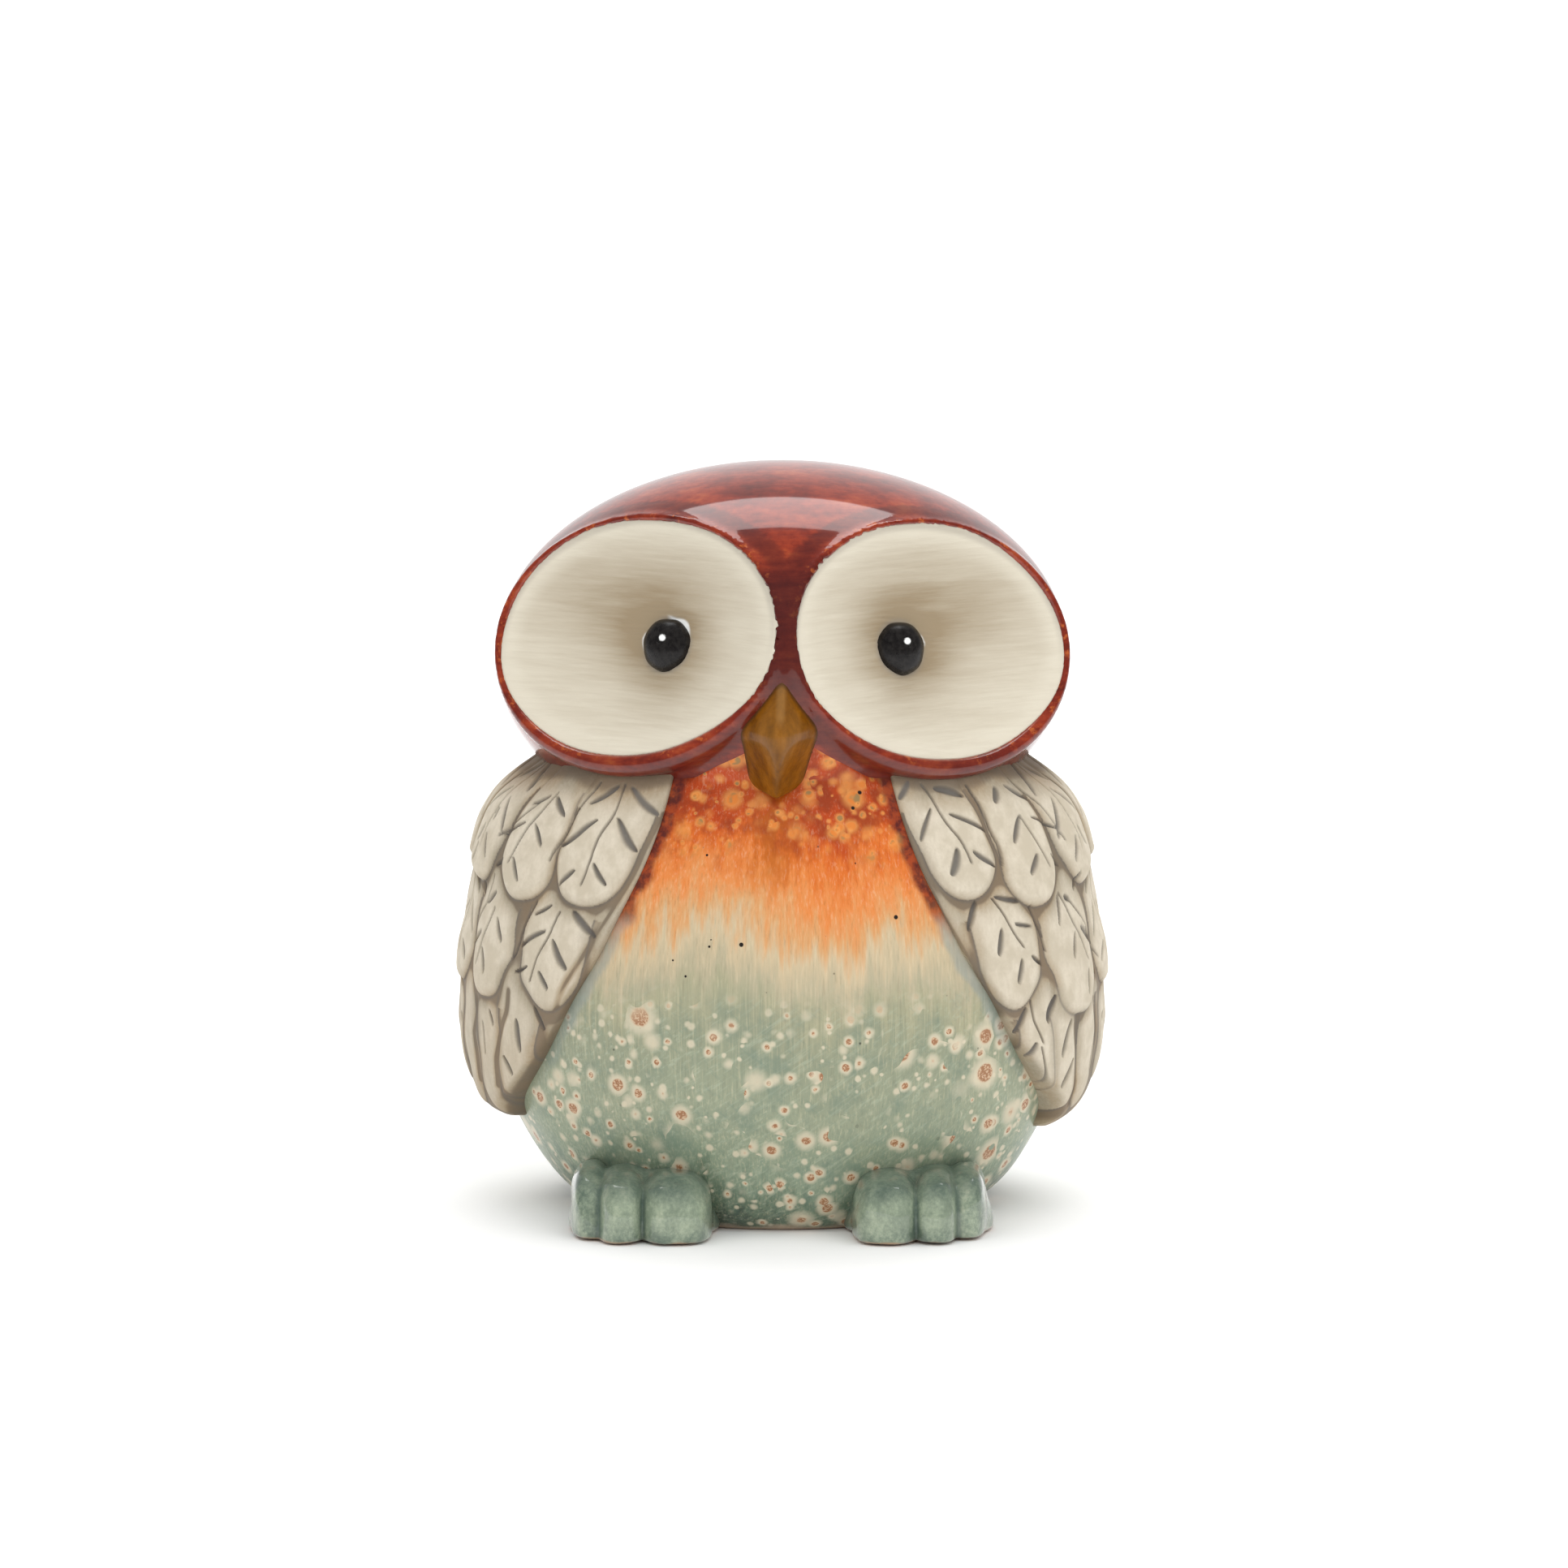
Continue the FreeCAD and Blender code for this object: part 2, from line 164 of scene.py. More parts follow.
def make_piece(name, points, faces, material, body, nodes=(), fields=None):
    """A smooth-shaded piece from millimetre points, with its per-point paint fields."""
    mesh = bpy.data.meshes.new(name)
    mesh.from_pydata((np.asarray(points) * MM).tolist(), [], faces)
    mesh.validate()
    for field, values in (fields or {}).items():
        attribute = mesh.attributes.new(field, "FLOAT", "POINT")
        attribute.data.foreach_set("value", np.asarray(values, dtype=np.float32))
    mesh.shade_smooth()
    mesh.materials.append(material)
    piece = bpy.data.objects.new(name, mesh)
    bpy.context.scene.collection.objects.link(piece)
    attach(piece, body)
    if nodes:
        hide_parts(*nodes)
    return piece


def ring_faces(rows, columns, closed_rows=False):
    """Quads between successive rings of points, each ring closed on itself."""
    faces = []
    for i in range(rows if closed_rows else rows - 1):
        a, b = i * columns, ((i + 1) % rows) * columns
        for j in range(columns):
            k = (j + 1) % columns
            faces.append((a + j, a + k, b + k, b + j))
    return faces


def surface_net(field, low, high, step):
    """A quad mesh of the field's zero surface, pulled onto it exactly."""
    axes = [np.arange(lo, hi + step, step) for lo, hi in zip(low, high)]
    value = field(np.stack(np.meshgrid(*axes, indexing="ij"), axis=-1))
    inside = value < 0
    shape = np.array(value.shape) - 1
    corners = [(i, j, k) for i in (0, 1) for j in (0, 1) for k in (0, 1)]

    def shifted(array, corner):
        return array[tuple(slice(c, c + n) for c, n in zip(corner, shape))]

    count = sum(shifted(inside, c).astype(np.int8) for c in corners)
    active = (count > 0) & (count < 8)
    cells = np.argwhere(active)
    index = np.full(shape, -1)
    index[active] = np.arange(len(cells))
    total, hits = np.zeros((len(cells), 3)), np.zeros(len(cells))
    edges = [
        (c, tuple(n + (m == axis) for m, n in enumerate(c)))
        for axis in range(3)
        for c in corners
        if c[axis] == 0
    ]
    for start, end in edges:
        first, last = shifted(value, start)[active], shifted(value, end)[active]
        crossed = (first < 0) != (last < 0)
        t = np.where(crossed, first / np.where(crossed, first - last, 1.0), 0.0)
        place = np.array(start) + t[:, None] * (np.array(end) - np.array(start))
        total += np.where(crossed[:, None], place, 0.0)
        hits += crossed
    points = np.array(low) + (cells + total / hits[:, None]) * step

    quads = []
    for axis in range(3):
        one, two = (axis + 1) % 3, (axis + 2) % 3
        span = [slice(1, n) for n in shape]
        span[axis] = slice(0, shape[axis])
        ahead = list(span)
        ahead[axis] = slice(1, shape[axis] + 1)
        near, far = inside[tuple(span)], inside[tuple(ahead)]
        for flip, mask in ((False, near & ~far), (True, ~near & far)):
            base = np.argwhere(mask) + 1
            base[:, axis] -= 1
            around = []
            for back_one, back_two in ((0, 0), (1, 0), (1, 1), (0, 1)):
                cell = base.copy()
                cell[:, one] -= back_one
                cell[:, two] -= back_two
                around.append(index[tuple(cell.T)])
            if flip:
                around.reverse()
            quads.append(np.stack(around, axis=1))
    quads = np.concatenate(quads)
    quads = quads[(quads >= 0).all(axis=1)]

    ends = np.concatenate([quads[:, [0, 1]], quads[:, [1, 2]], quads[:, [2, 3]], quads[:, [3, 0]]])
    for _ in range(3):
        mean, number = np.zeros_like(points), np.zeros(len(points))
        np.add.at(mean, ends[:, 0], points[ends[:, 1]])
        np.add.at(number, ends[:, 0], 1)
        points = 0.5 * points + 0.5 * mean / np.maximum(number, 1)[:, None]
        points = project(field, points)
    return points, quads.tolist()


def gradient(field, points, reach=0.05):
    """The field's slope along each axis, by central differences."""
    parts = []
    for axis in range(3):
        offset = np.zeros(3)
        offset[axis] = reach
        parts.append((field(points + offset) - field(points - offset)) / (2 * reach))
    return np.stack(parts, axis=-1)


def project(field, points, rounds=2, limit=0.6):
    """Moves points along the field's gradient onto its zero surface."""
    for _ in range(rounds):
        slope = gradient(field, points)
        size = np.maximum((slope**2).sum(axis=-1), 0.05)
        move = -field(points)[:, None] * slope / size[:, None]
        length = np.linalg.norm(move, axis=1, keepdims=True)
        points = points + move * np.minimum(1.0, limit / np.maximum(length, 1e-9))
    return points


# ---------------------------------------------------------------- materials


class Value:
    """A shader output that can be added, subtracted, multiplied and divided."""

    def __init__(self, shader, socket):
        self.shader, self.socket = shader, socket

    def __add__(self, other):
        return self.shader.math("ADD", self, other)

    def __sub__(self, other):
        return self.shader.math("SUBTRACT", self, other)

    def __mul__(self, other):
        return self.shader.math("MULTIPLY", self, other)

    def __truediv__(self, other):
        return self.shader.math("DIVIDE", self, other)


class Shader:
    """A procedural material under construction. Lengths in it are millimetres."""

    def __init__(self, name, roughness, specular=0.5, coat=0.0, coat_roughness=0.05):
        self.material = bpy.data.materials.new(name)
        self.material.use_nodes = True
        self.tree = self.material.node_tree
        self.tree.nodes.clear()
        self.surface = self.add("BsdfPrincipled")
        self.add("OutputMaterial", self.out(self.surface))
        self.surface.inputs["Roughness"].default_value = roughness
        self.surface.inputs["Specular IOR Level"].default_value = specular
        self.surface.inputs["Coat Weight"].default_value = coat
        self.surface.inputs["Coat Roughness"].default_value = coat_roughness
        self.place = self.scaled(self.out(self.add("TexCoord"), "Object"), 1 / MM)

    def add(self, kind, *values, **settings):
        """A node with its settings, whose first inputs take the values in order."""
        node = self.tree.nodes.new("ShaderNode" + kind)
        for name, setting in settings.items():
            setattr(node, name, setting)
        for socket, value in zip(node.inputs, values):
            self.put(socket, value)
        return node

    def out(self, node, output=0):
        return Value(self, node.outputs[output])

    def put(self, socket, value):
        if isinstance(value, Value):
            self.tree.links.new(value.socket, socket)
        elif isinstance(value, tuple) and len(socket.default_value) == 4:
            socket.default_value = (*value, 1.0)
        else:
            socket.default_value = value

    def math(self, operation, *values, clamp=False):
        return self.out(self.add("Math", *values, operation=operation, use_clamp=clamp))

    def vector(self, operation, first, second):
        return self.out(self.add("VectorMath", first, second, operation=operation))

    def scaled(self, vector, factor):
        node = self.add("VectorMath", vector, operation="SCALE")
        node.inputs["Scale"].default_value = factor
        return self.out(node)

    def step(self, value, low, high, to_low=0.0, to_high=1.0):
        """A smooth step of value from low to high."""
        node = self.add("MapRange", value, low, high, to_low, to_high, interpolation_type="SMOOTHSTEP")
        return self.out(node)

    def stretch(self, factors, place=None):
        return self.vector("MULTIPLY", place or self.place, factors)

    def turned(self, degrees, factors):
        """Coordinates turned about the front-to-back line, then stretched."""
        node = self.add("VectorRotate", self.place, rotation_type="Y_AXIS")
        node.inputs["Angle"].default_value = math.radians(degrees)
        return self.stretch(factors, self.out(node))

    def noise(self, size, detail=2.0, rough=0.5, place=None, output="Fac"):
        """Noise of 0 to 1 with features of about size millimetres."""
        node = self.add("TexNoise", place or self.place)
        node.inputs["Scale"].default_value = 1.0 / size
        node.inputs["Detail"].default_value = detail
        node.inputs["Roughness"].default_value = rough
        return self.out(node, output)

    def shifted_place(self, amount, size):
        """Coordinates pushed about by noise, to make outlines uneven."""
        centred = self.vector("SUBTRACT", self.noise(size, output="Color"), (0.5, 0.5, 0.5))
        return self.vector("ADD", self.place, self.scaled(centred, amount * 2))

    def cells(self, size, place=None, offset=0.0):
        """Distance in millimetres to the nearest of points strewn size apart, and two numbers for each."""
        moved = self.vector("ADD", place or self.place, (offset, offset, offset))
        node = self.add("TexVoronoi", moved)
        node.inputs["Scale"].default_value = 1.0 / size
        apart = self.out(node, "Distance") * size
        split = self.add("SeparateColor", self.out(node, "Color"))
        return apart, self.out(split, 0), self.out(split, 1)

    def field(self, name):
        """One of the mesh's per-point paint fields."""
        return self.out(self.add("Attribute", attribute_name=name), "Fac")

    def height(self):
        return self.out(self.add("SeparateXYZ", self.place), 2)

    def ramp(self, value, low, high, stops):
        """Colours by value; each stop is (value, red, green, blue)."""
        share = self.out(self.add("MapRange", value, low, high, 0.0, 1.0))
        node = self.add("ValToRGB", share)
        elements = node.color_ramp.elements
        while len(elements) < len(stops):
            elements.new(0.5)
        for element, (at, *colour) in zip(elements, stops):
            element.position = (at - low) / (high - low)
            element.color = (*colour, 1.0)
        return self.out(node)

    def mix(self, factor, first, second):
        """The first colour, with the second over it by factor."""
        node = self.add("Mix", factor, data_type="RGBA")
        self.put(node.inputs[6], first)
        self.put(node.inputs[7], second)
        return self.out(node, 2)

    def bump(self, height, distance):
        node = self.add("Bump")
        node.inputs["Distance"].default_value = distance * MM
        self.put(node.inputs["Height"], height)
        self.put(self.surface.inputs["Normal"], self.out(node))

    def colour(self, value):
        self.put(self.surface.inputs["Base Color"], value)
        return self.material


def head_glaze():
    s = Shader("red_brown_glaze", 0.34, specular=0.12, coat=1.0, coat_roughness=0.06)
    strokes = s.noise(1.5, 3.0, 0.62, s.stretch((0.14, 0.45, 1.0)))
    clouds = s.noise(13.0, 3.0, 0.55)
    mottle = s.noise(1.8, 4.0, 0.7)
    red_browns = [
        (0.32, 0.100, 0.007, 0.003),
        (0.46, 0.190, 0.016, 0.005),
        (0.58, 0.285, 0.032, 0.009),
        (0.70, 0.385, 0.066, 0.016),
    ]
    colour = s.ramp(strokes * 0.45 + clouds * 0.55 + (mottle - 0.5) * 0.30, 0.0, 1.0, red_browns)
    flecks = s.field("crest") * s.step(s.noise(2.4, 3.0, 0.65), 0.56, 0.70)
    colour = s.mix(flecks * 0.75, colour, (0.56, 0.130, 0.024))
    # Painted shade: near-black red next to the eye plates, outside the rims, between the eyes and under the
    # head's lower front edge.
    colour = s.mix(s.field("hollow") * 0.85, colour, (0.040, 0.005, 0.006))
    colour = s.mix(s.field("bisque"), colour, (0.50, 0.36, 0.25))
    s.bump(strokes * 0.6 + mottle * 0.4, 0.07)
    return s.colour(colour)


def spots(s, place, size, radius, offset, seen, soft):
    """Masks of round spots and of their centres; seen is the share of the strewn points that show."""
    apart, pick, grow = s.cells(size, place, offset)
    ratio = apart / ((grow * 0.65 + 0.35) * radius)
    shown = s.math("LESS_THAN", pick, seen)
    return s.step(ratio, 1.0, 1.0 - soft) * shown, s.step(ratio, 0.50, 0.34) * shown


def pinholes(s, size, radius, rim, offset, share):
    """A mask of small round holes, strewn size apart, of which a share shows."""
    apart, pick, _ = s.cells(size, None, offset)
    return s.step(apart, radius, rim) * s.math("LESS_THAN", pick, share)


def belly_glaze():
    s = Shader("belly_glaze", 0.40, specular=0.18, coat=0.36, coat_roughness=0.12)
    height = s.height()
    drips = s.noise(2.0, 3.0, 0.62, s.stretch((1.0, 1.0, 0.06)))
    wide = s.noise(9.0, 2.0, 0.5, s.stretch((1.0, 1.0, 0.25)))
    run = (drips - 0.5) * 22.0 + s.field("sag")
    # Heights in millimetres: grey-green at the foot, cream in the middle, orange and red at the neck.
    bands = [
        (1.0, 0.056, 0.083, 0.055),
        (8.0, 0.114, 0.162, 0.108),
        (16.0, 0.242, 0.302, 0.210),
        (30.0, 0.302, 0.336, 0.230),
        (46.0, 0.282, 0.304, 0.203),
        (53.0, 0.370, 0.358, 0.229),
        (59.0, 0.464, 0.408, 0.272),
        (65.0, 0.590, 0.474, 0.302),
        (71.0, 0.665, 0.345, 0.142),
        (78.0, 0.745, 0.252, 0.066),
        (86.0, 0.690, 0.155, 0.020),
        (93.0, 0.500, 0.060, 0.005),
    ]
    colour = s.ramp(height + (run + (wide - 0.5) * 12.0), 0.0, 110.0, bands)
    fine = s.noise(0.45, 3.0, 0.62, s.stretch((1.0, 1.0, 0.045)))
    colour = s.mix(s.step(fine, 0.50, 0.74, 0.0, 0.40), colour, s.mix(0.55, colour, (0.86, 0.72, 0.48)))
    colour = s.mix(s.step(fine, 0.46, 0.28, 0.0, 0.30), colour, s.mix(0.5, colour, (0.0, 0.0, 0.0)))

    low = s.step(height, 60.0, 44.0)
    pale = s.noise(0.8, 3.0, 0.65, s.turned(35.0, (0.10, 1.0, 1.0)))
    colour = s.mix(low * s.step(pale, 0.48, 0.72, 0.0, 0.36), colour, (0.470, 0.510, 0.380))
    dull = s.noise(0.7, 3.0, 0.65, s.turned(-40.0, (0.12, 1.0, 1.0)))
    colour = s.mix(low * s.step(dull, 0.52, 0.74, 0.0, 0.30), colour, (0.165, 0.240, 0.185))
    deep = s.step(s.noise(8.0, 4.0, 0.62), 0.46, 0.72, 0.0, 0.40)
    colour = s.mix(low * deep, colour, (0.120, 0.195, 0.155))

    # The chest: a brown run below the beak, dark red patches, and orange spots with darker hearts.
    place = s.shifted_place(0.35, 2.0)
    run_down = s.field("drip") * s.step(drips, 0.35, 0.62)
    colour = s.mix(run_down * 0.75, colour, (0.440, 0.112, 0.008))
    rough = s.noise(6.0, 3.0, 0.6, s.stretch((1.0, 1.0, 0.6)))
    high = s.step(height + rough * 26.0, 90.0, 104.0)
    dark = high * s.step(s.noise(5.0, 3.0, 0.6), 0.40, 0.62)
    colour = s.mix(dark * 0.80, colour, (0.300, 0.040, 0.007))
    for size, radius, offset, share in (
        (5.2, 3.9, 3.0, 0.95),
        (3.4, 2.2, 31.0, 0.85),
        (2.2, 1.2, 61.0, 0.60),
    ):
        disc, core = spots(s, place, size, radius, offset, share, 0.80)
        colour = s.mix(disc * high * 0.88, colour, (0.810, 0.345, 0.085))
        colour = s.mix(core * high * 0.75, colour, (0.700, 0.190, 0.025))
        heart = core * high * s.step(s.noise(4.0), 0.48, 0.58)
        colour = s.mix(heart * 0.85, colour, (0.270, 0.200, 0.080))

    # The belly: cream spots, the larger of them with brown centres that are ragged.
    lower = s.step(height + wide * 12.0, 62.0, 50.0)
    crowd = s.step(s.noise(14.0, 2.0, 0.5), 0.36, 0.56, 0.35, 1.0)
    ragged = s.step(s.noise(0.45, 2.0, 0.6), 0.40, 0.52)
    for size, radius, offset, share in (
        (2.8, 1.20, 91.0, 0.95),
        (4.0, 2.10, 53.0, 0.95),
        (6.0, 3.30, 29.0, 0.85),
        (9.5, 5.20, 7.0, 0.75),
    ):
        disc, core = spots(s, place, size, radius, offset, crowd * share, 0.55)
        colour = s.mix(disc * lower * 0.84, colour, (0.650, 0.580, 0.425))
        if radius > 2.0:
            core = core * lower
            colour = s.mix(core * 0.75, colour, (0.600, 0.375, 0.225))
            colour = s.mix(s.step(core, 0.45, 1.0) * ragged * 0.85, colour, (0.300, 0.120, 0.045))

    for size, radius, offset, share in ((8.0, 0.55, 17.0, 0.60), (5.0, 0.30, 71.0, 0.60)):
        hole = pinholes(s, size, radius, radius * 0.7, offset, share)
        hole = hole * s.step(height, 30.0, 55.0, 0.25, 1.0)
        colour = s.mix(hole, colour, (0.014, 0.010, 0.008))
    # Painted reflection and painted shade beside the wings' front edges: a blue-grey sheen low down, a dark
    # maroon line higher up.
    painted_maroon_shade = s.mix(s.step(s.noise(2.0, 3.0, 0.6), 0.35, 0.65), (0.080, 0.012, 0.012), (0.330, 0.050, 0.012))
    painted_blue_sheen = s.mix(s.noise(2.5, 3.0, 0.6), (0.180, 0.230, 0.225), (0.330, 0.385, 0.375))
    colour = s.mix(s.field("edge"), colour, s.mix(s.step(height, 70.0, 64.0), painted_maroon_shade, painted_blue_sheen))
    # Painted shade: dark red-brown along the eye rims and the head's lower edge, where the head overhangs
    # the torso.
    colour = s.mix(s.field("head_overhang_shade"), colour, (0.100, 0.014, 0.012))
    bisque = s.mix(s.noise(1.2, 4.0, 0.7), (0.46, 0.33, 0.23), (0.58, 0.45, 0.33))
    colour = s.mix(s.field("bisque"), colour, bisque)
    s.bump(fine * 0.35 + s.noise(4.0, 3.0, 0.6) * 0.65 - hole * 1.5, 0.10)
    return s.colour(colour)


def foot_glaze():
    s = Shader("foot_glaze", 0.30, specular=0.3, coat=1.0, coat_roughness=0.05)
    mottle = s.noise(0.8, 4.0, 0.7)
    clouds = s.noise(4.0, 3.0, 0.6, s.stretch((1.0, 1.0, 0.55)))
    greens = [
        (0.32, 0.075, 0.115, 0.085),
        (0.45, 0.155, 0.205, 0.150),
        (0.56, 0.275, 0.335, 0.240),
        (0.68, 0.430, 0.470, 0.340),
    ]
    colour = s.ramp(mottle * 0.42 + clouds * 0.58, 0.0, 1.0, greens)
    # Painted light: the toes' lower fronts are lighter, where light falls.
    colour = s.mix(s.field("lit_toe_fronts") * 0.30, colour, (0.400, 0.460, 0.325))
    # Painted shade between the toes, against the belly and on the toes' tops under the belly.
    colour = s.mix(s.field("hollow") * 0.78, colour, (0.062, 0.098, 0.078))
    colour = s.mix(pinholes(s, 6.5, 0.38, 0.26, 5.0, 0.5), colour, (0.012, 0.012, 0.010))
    colour = s.mix(s.field("bisque"), colour, (0.42, 0.27, 0.15))
    s.bump(mottle * 0.5 + clouds * 0.5, 0.14)
    return s.colour(colour)


def wing_paint():
    s = Shader("wing_paint", 0.60, specular=0.3)
    grain = s.noise(0.6, 4.0, 0.68)
    clouds = s.noise(5.0, 3.0, 0.6)
    brush = s.noise(1.0, 3.0, 0.6, s.stretch((1.0, 1.0, 0.12)))
    base = s.mix(s.step(clouds, 0.35, 0.7), (0.560, 0.492, 0.378), (0.690, 0.620, 0.500))
    # Brown wash paint, with painted shade added in low places, creases and under the head.
    wash = s.field("wash") + (clouds - 0.5) * 0.55 + (brush - 0.5) * 0.45
    wash = s.math("ADD", wash, (grain - 0.5) * 0.40, clamp=True)
    stain = s.mix(s.step(s.noise(11.0), 0.4, 0.6), (0.330, 0.240, 0.140), (0.280, 0.230, 0.155))
    colour = s.mix(wash * 0.88, base, stain)
    # Painted shade: the highest wash values, in creases and under the head, go dark brown.
    colour = s.mix(s.step(s.field("wash"), 0.84, 1.06, 0.0, 0.60), colour, (0.120, 0.085, 0.060))
    # Dark grey in the incised lines, and painted shade in the feathers' creases.
    colour = s.mix(s.field("line") * 0.86, colour, (0.135, 0.126, 0.116))
    s.bump(grain * 0.6 + brush * 0.4, 0.10)
    return s.colour(colour)


def eye_paint():
    s = Shader("eye_paint", 0.55, specular=0.35)
    strokes = s.noise(0.9, 4.0, 0.7, s.stretch((0.06, 0.06, 1.0)))
    broad = s.noise(5.0, 2.0, 0.5, s.stretch((0.22, 0.22, 1.0)))
    grain = s.noise(0.5, 2.0, 0.6)
    wash = s.field("wash") * s.step(broad, 0.1, 0.75, 0.75, 1.12)
    wash = s.math("ADD", wash, (strokes - 0.5) * 0.50, clamp=True)
    colour = s.mix(wash * 0.92, (0.700, 0.645, 0.525), (0.300, 0.222, 0.128))
    colour = s.mix(s.field("chip"), colour, (0.86, 0.86, 0.84))
    colour = s.mix(s.field("shade"), colour, (0.34, 0.30, 0.25))
    s.bump(strokes * 0.8 + grain * 0.2, 0.08)
    return s.colour(colour)


def pupil_paint():
    s = Shader("pupil_paint", 0.26, specular=0.25)
    grain = s.noise(1.2, 3.0, 0.6)
    colour = s.mix(s.step(grain, 0.3, 0.7), (0.006, 0.005, 0.005), (0.018, 0.016, 0.015))
    colour = s.mix(s.field("dot"), colour, (0.90, 0.90, 0.88))
    s.bump(grain, 0.05)
    return s.colour(colour)


def beak_glaze():
    s = Shader("beak_glaze", 0.34, specular=0.10, coat=0.32, coat_roughness=0.10)
    drift = s.noise(3.2, 3.0, 0.6, s.stretch((1.0, 1.0, 0.35)))
    mottle = s.noise(0.9, 3.0, 0.6)
    ochres = [
        (0.32, 0.105, 0.034, 0.002),
        (0.48, 0.180, 0.062, 0.002),
        (0.60, 0.235, 0.084, 0.004),
        (0.74, 0.310, 0.118, 0.011),
    ]
    colour = s.ramp(drift * 0.75 + mottle * 0.25, 0.0, 1.0, ochres)
    # Painted highlight: paler ochre down the upper ridge and over the front facet.
    colour = s.mix(s.field("ridge") * 0.50, colour, (0.330, 0.170, 0.050))
    # Painted shade where the beak meets the head.
    colour = s.mix(s.field("foot") * 0.75, colour, (0.050, 0.022, 0.012))
    s.bump(mottle, 0.06)
    return s.colour(colour)


def stopper_rubber():
    s = Shader("stopper_rubber", 0.72, specular=0.3)
    dust = s.noise(4.0, 3.0, 0.6)
    s.bump(s.noise(0.35, 3.0, 0.7), 0.06)
    return s.colour(s.mix(s.step(dust, 0.35, 0.75), (0.030, 0.030, 0.031), (0.062, 0.060, 0.058)))


def floor_paper():
    s = Shader("floor_paper", 0.9, specular=0.1)
    return s.colour(s.mix(s.noise(1.5, 3.0, 0.6), (0.955, 0.955, 0.955), (0.97, 0.97, 0.97)))


# ---------------------------------------------------------------- torso


def torso_point(angle, z, grow=0.0):
    """Points on the torso's ellipses; angle 0 is the front and the left side is positive."""
    width, depth = half_width(z) + grow, half_depth(z) + grow
    return np.stack([-width * np.sin(angle), AXIS_Y - depth * np.cos(angle), z + 0 * angle], -1)


def meets_head(outline, low, high, sink):
    """The height at each angle where an outline goes inside the head, sunk a little into it."""
    heights = np.linspace(low, high, 90)
    depth = np.stack([head_skin(outline(z)) for z in heights])
    first = np.argmax(depth < -sink, axis=0)
    never = ~(depth < -sink).any(axis=0)
    return heights[np.where(never, np.argmin(depth, axis=0), first)]


def round_point(angle, radius, z):
    """Points on a level circle about the owl's axis."""
    return np.stack([-radius * np.sin(angle), AXIS_Y - radius * np.cos(angle), np.full_like(angle, z)], -1)


